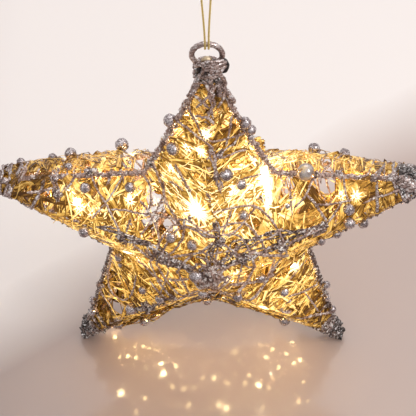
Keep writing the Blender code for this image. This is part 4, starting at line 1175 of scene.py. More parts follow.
# %% [markdown]
# ## Wound thread
#
# A silver thread, also rolled in glitter, holds the film down. It goes round every arm both ways, crosses
# itself, runs from ridge to ridge round the front point and gathers in knots. The strands that the
# photograph shows are laid where it shows them, through the rays from the eye, and the rest of the winding
# is seeded, so that the back is wound as fully as the front.

# %% Strands seen in the photograph, as places in the picture
STRANDS = (
    ((193.6, 94.7), (203.6, 103), (209, 108.5)), ((225, 90), (222.7, 100), (217.3, 107.7)),
    ((188.3, 98.5), (190.6, 113.8), (196, 121.5), (199.7, 130.6), (203.6, 137.5)),
    ((195, 116), (209, 117.6), (214, 124.5)),
    ((176, 120), (188.3, 128.3), (199, 137.5), (209.7, 145), (213.5, 149.8)),
    ((231.9, 115.3), (229.6, 130.6), (225.7, 146)), ((241, 132), (233.4, 144.4), (223.5, 150), (219, 159)),
    ((247, 149.6), (240, 150.6), (227, 156), (219, 159)),
    ((152, 161), (163.7, 189.4), (165, 200.6), (174, 215), (182, 229)),
    ((141, 171), (150.4, 185), (151.4, 201.6), (148, 212)),
    ((163.7, 181), (163.7, 195.5), (157.5, 208), (150, 222), (141, 235)),
    ((140, 200.6), (149.4, 212), (156.5, 226), (160, 243)),
    ((110.7, 209.5), (125, 210), (137.5, 213), (150.4, 214), (174, 219), (191, 220)),
    ((185, 218), (183, 238.4), (175, 249.6), (165, 258)), ((185, 218), (195, 225), (205.5, 233), (215, 237)),
    ((175, 164), (181, 176), (187, 185), (191, 193.5)), ((169, 181), (178, 186), (183, 191)),
    ((232, 210), (228, 220), (222, 234)), ((256.5, 205.7), (249, 215), (240, 227), (228, 237)),
    ((242, 179), (261.6, 174)), ((213.7, 242), (201, 252.6), (181, 255.7), (165, 258)),
    ((218, 245.5), (216, 258), (214, 270), (209.6, 276)), ((220, 243), (235, 251.6), (243, 261)),
    ((243, 261), (232, 265), (216.7, 273), (208, 276)),
    ((243, 259), (252.5, 252), (271, 255.7), (289, 255.7)),
    ((245, 251.6), (257.5, 243.5), (273, 236), (283, 228)), ((77.7, 172.9), (68, 187), (66, 190.7)),
    ((89, 168), (93, 180), (98, 190.7), (106, 204), (113.4, 219), (120.5, 232.7)),
    ((124, 172.9), (116, 188), (106, 203), (99, 210), (92, 218.4)), ((131, 217.5), (126, 232.7)),
    ((109.8, 152), (117, 159.5), (126.8, 167.5)), ((26.8, 192.5), (40, 191.6), (53.6, 188)),
    ((31, 158.6), (26.8, 169), (17.9, 183.6)), ((314.7, 174.7), (307, 193), (301.7, 200.8), (294, 208)),
    ((342.6, 173.8), (346, 195), (349, 200.8)), ((305.4, 194), (314.7, 202.6), (326.8, 222)),
    ((316.6, 205), (330.5, 204.5), (342.6, 201.7), (352, 200)), ((342.6, 201.7), (335, 213), (327.7, 223)),
    ((363, 203.6), (372.4, 199), (386, 195), (400, 189.6)), ((288.6, 242.7), (307, 235), (322, 228.7)),
    ((253.6, 252.5), (267, 256.4), (279.4, 255.4), (291.9, 242), (314.8, 230.5)),
    ((132.5, 244), (143, 253), (153, 261)), ((136, 259.5), (145, 265.7), (152, 273.8), (163, 281.8)),
    ((169, 260.4), (168, 272.9), (164.6, 283.6), (160, 294)), ((174.5, 280), (179.8, 289)),
    ((112, 256.8), (107.5, 272.9), (109, 287), (114.6, 296), (123.6, 300.5), (128, 298)),
    ((136, 275.5), (135, 285), (129.8, 297.9)), ((168, 279), (177, 280), (188.8, 279)),
    ((243, 261), (240, 273.6), (236.4, 285)), ((228.7, 285), (253.6, 282), (261, 281), (274.6, 273.6)),
    ((288, 296.6), (303, 291.8), (317.7, 284)), ((286, 304), (292, 299)),
    ((305, 292.7), (314.8, 306), (318.7, 311.9)), ((302.4, 318.6), (316.7, 314.7), (334, 311.9)),
    ((205, 84), (209, 92), (214, 98)), ((217, 84), (212, 93), (204, 101), (196, 108)),
)
BANDS = (
    ((54.5, 156), (53.6, 165.7), (55.4, 180), (58, 192.5), (57, 201.4)),
    ((98, 225.5), (122, 237), (143, 241), (160.6, 251.6), (171, 261), (187, 267), (206, 276)),
    ((122, 238), (137, 243.4), (150, 249.6), (164.6, 259.5), (185, 268), (204, 277)),
    ((206, 277), (225, 268), (243, 259), (263, 250), (282, 246), (304, 234), (326, 224)),
    ((206, 274), (222, 262), (235.4, 245), (253.6, 240), (270.8, 235.3), (286, 234.4), (308, 230.5),
     (327, 224.8)),
    ((211, 81), (211.2, 92.4), (212, 103.9), (209.7, 116)), ((211, 148), (215, 165), (217, 180), (220, 192)),
    ((215, 222), (218, 235), (214, 250), (210, 264), (206, 276)),
    ((128, 310), (146, 306.8), (155, 310), (172.7, 297)),
)
SILVER_BANDS = (0, 5, 6)
KNOTS = ((122, 237, 4.5), (165, 259, 5), (218, 242, 6.5), (243, 259, 6), (206, 277, 7), (282, 246, 6),
         (326, 224, 3.5), (216, 178, 3.5), (57, 194, 5), (100, 285, 4.5), (91, 171, 5), (78, 164, 4),
         (173, 297, 4), (221, 152, 3), (316, 175, 3.5), (150, 164, 4), (134, 308, 5), (148, 307, 7))
SILVER_KNOTS = ((396, 167, 7), (405, 171, 8), (403, 182, 7), (393, 177, 5), (411, 186, 7), (388, 165, 5),
                (374, 178, 4), (3, 166, 6), (9, 171, 5), (5, 181, 4), (14, 168, 4), (57, 164, 4.5),
                (56, 178, 4), (89, 171, 5), (212, 96, 3.5), (219, 155, 4), (62, 168, 4), (339, 174, 4))

# %% The windings of each arm, with the seen strands on the arm nearest to them
THREAD_AT, THREAD_STEP = 0.0042, 0.001
WINDS = (  # turns, from, to
    (2.75, 0.064, 0.127), (-2.3, 0.060, 0.134), (3.4, 0.074, 0.140), (-1.6, 0.058, 0.105))
BAND_STRANDS, BAND_SWAY, BAND_STATIONS = 4, 3.4, 40


def nearest_arm(points):
    """The arm whose direction in the star's plane is closest to the points' mean."""
    mean = points.mean(0) - CENTRE
    angle = math.atan2(mean[2], mean[0])
    return min(ARMS, key=lambda arm: abs((angle - ANGLE[arm] + math.pi) % (2 * math.pi) - math.pi))


windings = {arm: [] for arm in ARMS}
for arm in ARMS:
    for k, (turns, start, stop) in enumerate(WINDS):
        path, out = wound(arm, start, stop, turns, rng.uniform(), THREAD_AT - 0.0004 * (k % 2), 0.004)
        shown = out[:, 1] > -0.25
        if k == 0:
            shown |= np.arange(len(path)) % 60 < 24
        path = softened(path, 2)
        for part in np.split(np.arange(len(path)), np.flatnonzero(np.diff(shown.astype(int))) + 1):
            if shown[part[0]] and len(part) > 5:
                radius = rng.uniform(0.0006, 0.0008)
                windings[arm].append(coated(path[part], out[part], radius, 0.3, 6, 30 + k, 0.002))
for k, line in enumerate(STRANDS):
    for path, _ in seen_path(line, THREAD_AT):
        path = resampled(path, THREAD_STEP)
        windings[nearest_arm(path)].append(wrapped(path, rng.uniform(0.00065, 0.00095), 0.32, 60 + k))
bands = {"silver": [], "taupe": []}
for k, line in enumerate(BANDS):
    line = spread(line, BAND_STATIONS)
    for strand in range(BAND_STRANDS):
        sway = line + BAND_SWAY * np.stack([waves(1, BAND_STATIONS, 2.5)[0] for _ in range(2)], -1)
        for path, _ in seen_path(sway, THREAD_AT - rng.uniform(0.0004, 0.0012)):
            radius = rng.uniform(0.0005, 0.0008)
            thread = wrapped(resampled(path, THREAD_STEP), radius, 0.35, 90 + 5 * k + strand, 0.0022)
            bands["silver" if k in SILVER_BANDS else "taupe"].append(thread)
for k, line in enumerate(sag_lines):
    line = softened(resampled(line, THREAD_STEP), 3)
    bands["taupe"].append(wrapped(line, rng.uniform(0.0006, 0.0010), 0.4, 150 + k, 0.0022))
# Bands that are not silver and the sagging threads get the darker copy of the silver glitter: painted shade.
for name, finish in (("silver", silver_glitter), ("taupe", taupe_glitter)):
    add_piece(f"thread_bands_{name}", bands[name], finish)
for arm in ARMS:
    add_piece(f"thread_winding_{arm}", windings[arm], silver_glitter,
              [f"glitter_thread_{arm}"])

# %% [markdown]
# Round the front and back points the thread goes from ridge to ridge like a web. Its line is a wavering
# spiral in plan whose points are laid on the facets that they fall on.

# %% The web round the points
def web(side, start, stop, turns, phase, radius, seed):
    """A spiral in plan from start to stop, laid on the grown star and eased over ridges and valleys."""
    at = np.linspace(0, 1, int(140 * turns))
    angle = 2 * np.pi * (turns * at + phase)
    reach = start + (stop - start) * at + 0.0018 * waves(1, len(at), 5 * turns)[0]
    path = softened(on_star(reach * np.cos(angle), reach * np.sin(angle), side, THREAD_AT - 0.0006), 4)
    return wrapped(path, radius, 0.32, seed)


WEBS = (("front", 0.014, 0.056, 2.2, 0.1, 0.0008, 5), ("front", 0.05, 0.022, 1.7, 0.6, 0.0008, 6),
        ("back", 0.045, 0.060, 1.6, 0.3, 0.0008, 7))
add_piece("thread_web", [web(*row) for row in WEBS], silver_glitter, ["glitter_thread_hub"])

# %% [markdown]
# ## Knots of glitter
#
# Where strands meet, thread and glue gather in a lump. A knot is a round surface whose radius is pushed in
# and out by two sizes of lumps, pressed a little flat against the star.

# %% Lumpy round forms
def ball(centre, radius, rough, size, seed, rows, sides, squash=None):
    """A sphere in rows from pole to pole: row angles from nearly 0 to nearly pi, radius times one plus
    rough times lumps. squash is a direction along which it is pressed to two thirds."""
    polar = np.linspace(0.04, np.pi - 0.04, rows)[:, None]
    around = full_turn(sides)[None]
    ray = np.stack([np.sin(polar) * np.cos(around), np.sin(polar) * np.sin(around),
                    np.cos(polar) + 0 * around], -1)
    if squash is not None:
        ray = ray - 0.34 * (ray @ squash)[..., None] * squash
    swell = np.clip(1 + rough * lumps(centre + radius * ray, size, seed), 0.4, 1.7)
    return (centre + radius * ray * swell[..., None])[::-1]


KNOT_SIZE = 0.00062  # metres for one picture point
# The knots get the darker copy of the silver glitter: painted shade.
for name, places, finish, rough in (("taupe", KNOTS, taupe_glitter, 0.3),
                                    ("silver", SILVER_KNOTS, lilac_glitter, 0.2)):
    knots = []
    for k, (x, y, size) in enumerate(places):
        place, out = seen_at(x, y, 0.0032)
        if np.isfinite(place).all():
            knots.append(ball(place[0], size * KNOT_SIZE, rough, 0.003, 200 + k, 14, 18, out[0]))
    add_piece(f"glitter_knots_{name}", knots, finish)

# %% [markdown]
# ## Beads
#
# The beads are hollow balls rolled in fine glitter and threaded on the silver thread. Those that the
# photograph shows sit where their rays meet the star; one that shows against the background stands off
# the outline, at most by its own radius and a part of the fuller film. The back gets its own, seeded.

# %% Beads seen in the photograph: x, y and radius in the picture
BEADS = (
    (170, 120.5, 6.5), (245, 123, 6), (251, 130, 5), (250, 137.5, 3), (173, 149, 6.5), (226, 174.5, 6.5),
    (241, 184, 5.5), (85, 188, 5.5), (130, 187.5, 5.5), (84, 232, 5.5), (171, 237, 6), (192.5, 245, 5.5),
    (243, 215, 5), (190, 217, 2.5), (287.5, 206, 3), (349, 209.5, 6), (349.5, 223, 6), (363, 223, 5.5),
    (337, 234, 4.5), (321, 241, 4.5), (119, 257.5, 4.5), (120.5, 265, 2.5), (196, 276, 7), (203, 292.5, 5.5),
    (261, 278, 5), (237.5, 297, 5), (284, 292, 5), (143, 290, 4.5), (160, 299, 5), (131, 309, 6),
    (119, 324, 5.5), (284.5, 320.5, 6), (326, 285, 4.5), (327, 298, 3.5), (92.5, 312, 4), (92.5, 300, 4),
    (332.5, 309, 4), (69, 167, 4), (122, 143, 7), (70.5, 151.5, 6), (52.5, 153, 4.5), (20, 160, 4.5),
    (314, 147.5, 6), (344.5, 151.5, 5.5), (207.5, 301, 5), (144.5, 322, 5),
)
held_by = []


def bead_place(x, y, size):
    """The bead's middle: on a star grown by the thread and the bead's own radius. Where the ray misses, it is
    walked outwards in sixteen directions until one meets, and the bead stands off that point by the walk, but
    at most by its radius and a part of the fuller film. The thread between the star and the bead is noted."""
    radius = size * POINT_WIDE
    if np.isfinite(seen_at([x], [y], 0.0024)[0]).all():
        return seen_at([x], [y], 0.0030 + 0.75 * radius)[0][0], radius
    turn, walk = np.meshgrid(np.arange(16) * np.pi / 8, np.linspace(0, 30, 121))
    place, _ = seen_at(x + (walk * np.cos(turn)).ravel(), y + (walk * np.sin(turn)).ravel(), 0.0024)
    first = int(np.flatnonzero(np.isfinite(place).all(1))[0])
    turn, walk = turn.ravel()[first], walk.ravel()[first]
    inwards = right * np.cos(turn) - up * np.sin(turn)
    middle = place[first] - inwards * min(walk * POINT_WIDE, radius + 0.6 * FULLER)
    held_by.append(place[first] + (middle - place[first]) * np.linspace(-0.4, 1, 12)[:, None])
    return middle, radius


def bead(middle, radius, seed):
    """A ball with shallow, fine lumps."""
    return ball(middle, radius, 0.045, 0.0022, seed, 13, 20)


bead_forms = [bead(*bead_place(*seen), 300 + k) for k, seen in enumerate(BEADS)]
BACK_BEADS = (0.0042, 0.0036, 0.0028)
for arm in ARMS:
    for k in range(8):
        u = rng.uniform(0.03, 0.13)
        v = rng.uniform(-0.85, 0.85) * min(u * VALLEY_RATE, float(edge_at(u, 0)[0]))
        radius = rng.choice(BACK_BEADS)
        middle = on_arm(arm, "back", np.array([u]), np.array([v]), 0.0030 + 0.75 * radius)[0]
        x, y = in_picture(middle)
        hidden = np.isfinite(seen_at(x + np.array([0, 8, 0, -8]), y + np.array([-9, 0, 8, 0]),
                                     0.001)[0]).all()
        if hidden and np.abs(middle - [0, 0.07, CENTRE[2]])[[0, 2]].max() > 0.042:
            bead_forms.append(bead(middle, radius, 400 + k))
add_piece("glitter_beads", bead_forms, bead_glitter)
bead_threads = [coated(line, ASLANT, 0.0010, 0.4, 6, 450 + k, 0.002) for k, line in enumerate(held_by)]
add_piece("bead_threads", bead_threads, silver_glitter)

# %% The one large clear bead
def clear_bead_material():
    """Thin clear plastic with a silver shade inside: mostly see-through, with a hard gloss and a soft
    grey and amber drift."""
    material, node, give = new_material("clear_bead")
    drift = noise(node, 140.0)
    give(Base_Color=ramp(node, drift, (0.35, (0.42, 0.34, 0.31)), (0.5, (0.74, 0.65, 0.60)),
                         (0.65, (0.92, 0.70, 0.42))),
         Metallic=0.85, Roughness=0.08, Alpha=0.85, Normal=bump(node, drift, 0.3, 0.001))
    return material


place, radius = bead_place(305.5, 172.5, 9)
add_piece("clear_bead", [ball(place, radius, 0.03, 0.006, 9, 19, 28)], clear_bead_material())

# %% [markdown]
# ## Tips, front point and neck
#
# At the four free tips the thread is wound tightly over itself and soaked in glitter until no film shows.
# The form is a diamond section with soft corners, drawn to a blunt end, with lumps, and tight windings lie
# over it. The front point and the neck under the ring are made the same way.

# %% Tight glitter caps
TIP_START = {"left": 0.1470, "right": 0.1340, "foot_left": 0.1420, "foot_right": 0.1420}


def soft_section(wide, front, behind, sides, power=1.35):
    """A closed section: at each angle the radius where the two axes' shares, raised to a power, add to one.
    A power of one is a diamond and two is an ellipse."""
    c, s = circle(full_turn(sides)).T
    depth = np.where(s >= 0, front[:, None], behind[:, None])
    radius = (np.abs(c / wide[:, None]) ** power + np.abs(s / depth) ** power) ** (-1 / power)
    return radius * c, radius * s


def tip_form(arm, seed):
    """The cap of one tip: sections from its start to a little past the tip, grown by 3 mm and lumpy. Those
    of the feet reach down to the table."""
    beyond = 0.0045 if arm.startswith("foot") else 0.003
    u = np.linspace(TIP_START[arm], STAR_RADIUS + beyond, 34)
    left = np.maximum(STAR_RADIUS + beyond + 0.0005 - u, 0.0004) / STAR_RADIUS
    wide = left / EDGE_RATE + 0.0022
    front = DEPTH["front"] * left + 0.0026
    behind = DEPTH["back"] * left + 0.0026 + 1.5 * fuller(arm, "back", u)
    close = np.sqrt(np.clip((u[-1] + 0.0006 - u) / 0.004, 0, 1))
    v, w = soft_section(wide * close, front * close, behind * close, 30)
    form = in_space(arm, u[:, None] + 0 * v, v, w)
    return pushed(form, in_space(arm, u, 0 * u, 0 * u)[:, None], 0.0010 * two_lumps(form, 0.004, seed))


TIP_WINDS = ((3.2, 0.136, 0.154), (-2.6, 0.133, 0.152), (1.7, 0.118, 0.148))  # turns, from, to
for k, arm in enumerate(ARMS[1:]):
    foot = arm.startswith("foot")
    add_piece(f"tip_core_{arm}", [tip_form(arm, 500 + k)], dark_glitter,
              [f"tip_glitter_{arm}"])
    forms = []
    for j, (turns, start, stop) in enumerate(TIP_WINDS):
        start -= 0.005 * (arm == "right")
        path, out = wound(arm, start, stop, turns * (1.2 if foot else 1.0), rng.uniform(), 0.0036, 0.0008)
        forms.append(coated(softened(path, 2), out, rng.uniform(0.0009, 0.0013), 0.35, 8, 520 + j,
                            0.003, 0.2))
    # The feet's clumps get the darker copy of the silver glitter: painted shade.
    add_piece(f"tip_clump_{arm}", forms, taupe_glitter if foot else lilac_glitter)

hub_mid = np.mean(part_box("front_hub_glitter"), 0)
hub = [ball(hub_mid + [0, 0.001, 0], 0.0052, 0.3, 0.003, 610, 16, 22)]
hub += [web("front", 0.003, 0.013, 2.6, p, 0.0010, 620 + int(10 * p)) for p in (0.0, 0.45)]
add_piece("front_point_clump", hub, silver_glitter, ["front_hub_glitter"])

# %% Neck and ring
NECK_BELOW, NECK_ABOVE, NECK_ASIDE = 0.011, 0.0075, 0.0022
NECK_WIDE, NECK_DEEP = 0.0092, 0.0068  # the column that the windings lie on
RING_R, RING_MID = 0.0093, np.array([0, 0, -0.0785])
TIP_TOP = CENTRE + [0, 0, STAR_RADIUS]


def upright_form(z, wide, deep, push, seed, sides=30):
    """Level ellipses at heights z, wide by deep, joined upwards and pushed in and out by lumps."""
    c, s = circle(full_turn(sides)).T
    form = np.stack([wide[:, None] * c, deep[:, None] * s, z[:, None] + 0 * c], -1)
    return pushed(form, np.stack([0 * z, 0 * z, z], -1)[:, None], push * two_lumps(form, 0.0035, seed, 0.4))


def on_neck(points, wide, deep):
    """Picture places laid on the front of an upright oval column: x gives the turn about it, y the height."""
    points = np.array(points, float)
    middle = in_picture([TIP_TOP + [NECK_ASIDE, 0, 0]])[0, 0]
    sine = np.clip((points[:, 0] - middle) * POINT_WIDE / wide, -1, 1)
    x, y = NECK_ASIDE + wide * sine, -deep * np.sqrt(1 - sine ** 2)
    heights = TIP_TOP[2] + np.array([-0.02, 0.01])
    seen = [in_picture(np.stack([x, y, 0 * x + height], -1))[:, 1] for height in heights]
    z = heights[0] + (heights[1] - heights[0]) * (points[:, 1] - seen[0]) / (seen[1] - seen[0])
    return np.stack([x, y, z], -1)


NECK_WRAPS = (
    (((196, 65.5), (202, 64.5), (209, 66), (216, 66), (222, 63.5), (226, 60.5)), 0.0016),
    (((203.5, 65), (205, 69), (203, 73), (199, 77)), 0.0012),
    (((196, 66), (195.5, 71), (195, 76), (196, 81)), 0.0009),
    (((226, 62), (223, 67), (217, 71.5), (210, 75), (203, 77.5)), 0.0016),
    (((210, 67), (212, 72), (211, 77), (211, 83)), 0.0013),
    (((217, 70), (220, 75), (223, 80), (224, 86)), 0.0014),
    (((205, 62.5), (211, 62), (218, 62), (223, 60)), 0.0012),
    (((205, 69), (211, 70.5), (217, 69), (223, 67)), 0.0013),
    (((207, 73), (212, 74), (219, 73)), 0.0011),
    (((196, 78.5), (202, 77), (208, 76), (214, 77), (219, 76)), 0.0012),
    (((209, 65), (214, 68.5), (220, 66)), 0.0012),
)
SHOULDERS = (
    (((199.5, 77), (198, 84), (194.5, 91), (190, 97)), 2.4), (((211, 76), (211.3, 86), (211.6, 97)), 1.8),
    (((217, 81), (218.5, 90), (220.5, 97)), 2.8), (((219, 80), (223, 86), (228, 93), (235, 103)), 2.6),
    (((203, 79), (206, 84), (210, 88)), 1.5), (((196, 79), (193, 88), (187, 97)), 1.6),
    (((222, 82), (225, 90), (231, 98)), 1.8),
)
share = np.linspace(0, 1, 26)
neck_z = TIP_TOP[2] - NECK_BELOW + (NECK_ABOVE + NECK_BELOW) * share
bulge = np.sqrt(np.clip(1 - ((share - 0.5) / 0.52) ** 4, 0, 1))
neck_core = upright_form(neck_z, (0.0080 - 0.0012 * share) * bulge, 0.0054 * bulge, 0.0005, 700)
add_piece("neck_core", [neck_core], dark_glitter, ["top_neck_glitter"])
neck_forms = []
for k, (line, radius) in enumerate(NECK_WRAPS):
    path = softened(resampled(on_neck(line, NECK_WIDE, NECK_DEEP), 0.0007), 3)
    neck_forms.append(wrapped(path, radius, 0.2, 730 + k, 0.0035, TIP_TOP, 10, 0.2))
for k, (line, radius) in enumerate(SHOULDERS):
    for path, _ in seen_path(line, 0.0030):
        path = softened(resampled(path, 0.0008), 2)
        neck_forms.append(wrapped(path, radius * POINT_WIDE, 0.2, 760 + k, 0.0035, CENTRE, 10, 0.2))
wrap_at = np.linspace(0, 1, 140)
for k, turns in enumerate((2.4, -2.1, 1.6)):
    angle = np.pi * (0.02 + 0.96 * (0.5 + 0.5 * np.sin(2 * np.pi * turns * wrap_at)))
    height = TIP_TOP[2] - 0.009 + 0.013 * wrap_at
    path = np.stack([0.0080 * np.cos(angle), 0.0064 * np.sin(angle), height], -1)
    neck_forms.append(wrapped(path, 0.0011, 0.25, 710 + k, 0.003, TIP_TOP, 8, 0.2))
add_piece("neck_clump", neck_forms, lilac_glitter)

ring_at = np.linspace(0, 2 * np.pi, 97)[:, None]
ring_line = RING_MID + RING_R * np.concatenate([np.sin(ring_at), 0 * ring_at, np.cos(ring_at + np.pi)], 1)


def closed_ring(line, middle, radius, rough, seed, sides=16):
    """A ring: at each angle the round profile stands on the direction away from the middle, and the last
    station meets the first."""
    out = unit(line - middle)
    c, s = circle(full_turn(sides)).T[..., None]
    form = line[:, None] + radius * (c * out[:, None] + s * np.array([0, 1.0, 0]))
    push = 1 + rough * two_lumps(form, 0.0026, seed, finer=0.0012 / 0.0026)
    return line[:, None] + (form - line[:, None]) * push[..., None]


ring = closed_ring(ring_line, RING_MID, BAR_D / 2, 0.04, 720)
add_piece("hanging_ring_glitter", [ring], ring_glitter, ["hanging_ring"])

# %% [markdown]
# Inside the ring a brass bump shows on the neck, and on the right a dark end of wire is bent round it. On
# the left a short piece of the same dark wire fills the gap between the windings: painted shade of that
# hollow.

# %% Wire ends at the neck
def wire_finish(name, low, high, shine):
    """Drawn wire: a colour that drifts a little along it, with fine draw marks and a soft gloss."""
    material, node, give = new_material(name)
    drift = noise(node, 420.0, 3.0)
    give(Base_Color=ramp(node, drift, (0.3, low), (0.7, high)), Metallic=shine,
         Roughness=span(node, drift, 0.3, 0.7, 0.25, 0.5), Normal=bump(node, drift, 0.3, 0.0003))
    return material


brass_wire = wire_finish("brass_wire", (0.38, 0.26, 0.16), (0.80, 0.66, 0.46), 0.9)
dark_wire = wire_finish("dark_wire", (0.012, 0.010, 0.010), (0.07, 0.06, 0.06), 0.5)
bump_mid = TIP_TOP + [-0.0002, -0.001, NECK_ABOVE + 0.0006]
brass_bump = ball(bump_mid, 0.0036, 0.06, 0.004, 5, 14, 20, np.array([0, 1.0, 0]))
add_piece("neck_brass_arch", [brass_bump], brass_wire)
hook_at = np.linspace(-0.6 * np.pi, 0.7 * np.pi, 26)
hook = np.stack([0.0098 + 0.0024 * np.cos(hook_at), 0 * hook_at - 0.001,
                 0.0042 + 0.0050 * np.sin(hook_at)], -1)
hook = coated(TIP_TOP + hook, np.array([0, 1.0, 0]), 0.0014, 0.06, 8, 6)
# A short dark wire in the gap between the windings: painted shade.
gap_shade_wire = on_neck([(200.5, 67.5), (200, 69.5), (199, 71.5), (198.5, 73.5)], 0.0090, 0.0064)
gap_shade_wire = coated(resampled(gap_shade_wire, 0.0008), np.array([1.0, 0, 0]), 0.0014, 0.1, 8, 7)
add_piece("neck_wire_end_and_gap_shade", [hook, gap_shade_wire], dark_wire)

# %% [markdown]
# ## The light string
#
# A lead of two thin insulated cores, twisted together, goes through all the arms. A lamp is a drop of clear
# resin over a warm chip. The lead passes the lamps on the line of the solids, and the drops shine.

# %% Lead and lamps
def smooth_line(points, steps=10):
    """A curve through all the points: between two of them a cubic whose slopes are half the neighbours'
    difference."""
    p = np.concatenate([points[:1], points, points[-1:]])
    t = (np.arange(steps) / steps)[None, :, None]
    a, b, c, d = (p[k:len(p) - 3 + k, None] for k in range(4))
    curve = 0.5 * (2 * b + (c - a) * t + (2 * a - 5 * b + 4 * c - d) * t ** 2
                   + (3 * b - a - 3 * c + d) * t ** 3)
    return np.concatenate([curve.reshape(-1, 3), points[-1:]])


def lamp_material():
    """Warm light, a little brighter at the drop's middle than at its glue, by a fine drift."""
    material, node, give = new_material("lamp_drop")
    give(Emission_Color=ramp(node, noise(node, 500.0), (0.3, (1.0, 0.80, 0.45)), (0.7, (1.0, 0.90, 0.66))),
         Emission_Strength=160, Base_Color=(1.0, 0.85, 0.55, 1), Roughness=0.2)
    return material


lead_line = resampled(smooth_line(lamp_line), 0.0012)
lead_forms, lead_runs = plies(lead_line, unit(np.array([0.35, 0.6, 0.72])), 0.001, 0.006, 2, 5)
lead_finish = wire_finish("lead_lacquer", (0.42, 0.26, 0.10), (0.66, 0.46, 0.20), 0.5)
add_piece("light_lead", lead_forms, lead_finish, ["light_string"], lead_runs)


def drop(middle, along, radius=0.0022, long=0.0035, rows=11, sides=12):
    """A drop: rows along its own line, with the radius of a rounded rod."""
    at = np.linspace(-1, 1, rows)
    size = radius * np.sqrt(np.clip(1 - np.abs(at) ** 3, 0.004, 1))
    path = middle + along * (long * at)[:, None]
    return rings_along(path, np.array([0.1, 1.0, 0.05]), round_profile(size, sides))


drops = []
for lamp in lamp_at:
    near = int(np.argmin(((lead_line - lamp) ** 2).sum(1)))
    drops.append(drop(lamp, unit(lead_line[min(near + 2, len(lead_line) - 1)] - lead_line[max(near - 2, 0)])))
add_piece("lamp_drops", drops, lamp_material())

# %% [markdown]
# ## The battery case
#
# The case, its lid, the switch, the cells and the contacts keep their solids, because their shapes are
# already right. Moulded plastic has a fine grain and faint flow marks; the cells have a printed jacket with
# bare metal ends; the contacts are nickelled spring steel.

# %% Plastic, cells and contacts
def moulded(name, colour, darker):
    """Fine grain for the bump, a slow drift of colour from handling."""
    material, node, give = new_material(name)
    flow = noise(node, 60.0, 4.0)
    give(Base_Color=ramp(node, flow, (0.3, darker), (0.7, colour)),
         Roughness=span(node, flow, 0.3, 0.7, 0.35, 0.5),
         Normal=bump(node, noise(node, 2500.0), 0.25, 0.0002))
    return material


def cell_finish():
    """A dark jacket with a broad copper-coloured band at one end and bare metal past the jacket, by the
    place along the cell."""
    material, node, give = new_material("cell_jacket")
    place = node("ShaderNodeSeparateXYZ", {"Vector": object_space(node)}).outputs["X"]
    scuff = noise(node, 700.0, 3.0)
    shifted = plus(node, span(node, place, -0.025, 0.025, 0.0, 1.0), times(node, scuff, 0.004))
    give(Base_Color=ramp(node, shifted, (0.0, (0.7, 0.69, 0.67)), (0.022, (0.06, 0.06, 0.065)),
                         (0.7, (0.05, 0.05, 0.055)), (0.71, (0.62, 0.36, 0.16)), (0.97, (0.60, 0.34, 0.15)),
                         (0.985, (0.72, 0.71, 0.69))),
         Metallic=0.6, Roughness=span(node, scuff, 0.3, 0.7, 0.22, 0.4))
    return material


case_plastic = moulded("case_plastic", (0.80, 0.78, 0.74), (0.74, 0.72, 0.68))
knob_plastic = moulded("knob_plastic", (0.06, 0.06, 0.06), (0.035, 0.035, 0.035))
spring_steel = wire_finish("spring_steel", (0.55, 0.54, 0.51), (0.82, 0.81, 0.78), 1.0)
for finish, names in ((case_plastic, ("battery_case", "battery_lid")), (knob_plastic, ("switch_knob",)),
                      (cell_finish(), ("cell_upper", "cell_lower")),
                      (spring_steel, ("contact_a", "contact_b", "contact_c", "contact_d"))):
    for name in names:
        coat(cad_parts[name], finish)
print("case dressed")

# %% [markdown]
# ## Flashes towards the table
#
# The glossy table mirrors many small warm points. They are painted glints: each is a small glowing flake on
# the film, turned to the mirrored eye, that stands for a crease of the lower film throwing the lamps' light
# down. The table sends a ray up from the place where the photograph shows the point, and the flake lies where
# that ray first meets the star.

# %% Flakes that flash in the table
FLASHES = np.array((  # x and y in the picture, and strength
    (115, 337, 5), (253, 338, 4), (150, 339, 3), (292, 343, 8), (169, 344, 6), (135, 346, 3), (143, 346, 4),
    (261, 346, 3), (197, 347, 9), (149, 348, 3), (155, 350, 2), (273, 350, 5), (211, 352, 2), (235, 352, 5),
    (286, 354, 5), (128, 356, 6), (120, 357, 3), (136, 357, 5), (266, 357, 5), (197, 359, 2), (300, 360, 6),
    (239, 361, 2), (161, 363, 9), (294, 363, 5), (225, 365, 4), (176, 366, 5), (279, 367, 5), (147, 368, 6),
    (259, 370, 2), (163, 373, 12), (252, 375, 4), (203, 378, 3), (214, 378, 6), (272, 378, 2), (303, 382, 3),
    (227, 383, 4), (245, 383, 4), (259, 385, 10), (173, 387, 4), (194, 387, 3), (269, 388, 3), (184, 389, 4),
    (277, 391, 2), (121, 393, 11), (316, 394, 2), (282, 396, 2), (145, 398, 4), (93, 400, 4), (299, 401, 6),
    (311, 401, 3), (179, 405, 3), (189, 405, 5), (220, 405, 8), (263, 407, 3), (211, 408, 2), (226, 408, 8),
    (136, 412, 3)))
FLASH, STRONGEST = 7.0, 12  # emission for one step of strength, and the most steps


def first_hit(start, toward):
    """Where a ray first meets a piece of the dressed star, or nothing. The solids don't count."""
    graph = bpy.context.evaluated_depsgraph_get()
    solids = {node.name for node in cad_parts.values()}
    for _ in range(20):
        hit, place, _, _, piece, _ = bpy.context.scene.ray_cast(graph, Vector(start), Vector(toward))
        if not hit or piece.name not in solids:
            return np.array(place) if hit else None
        start = np.array(place) + 1e-4 * toward
    return None


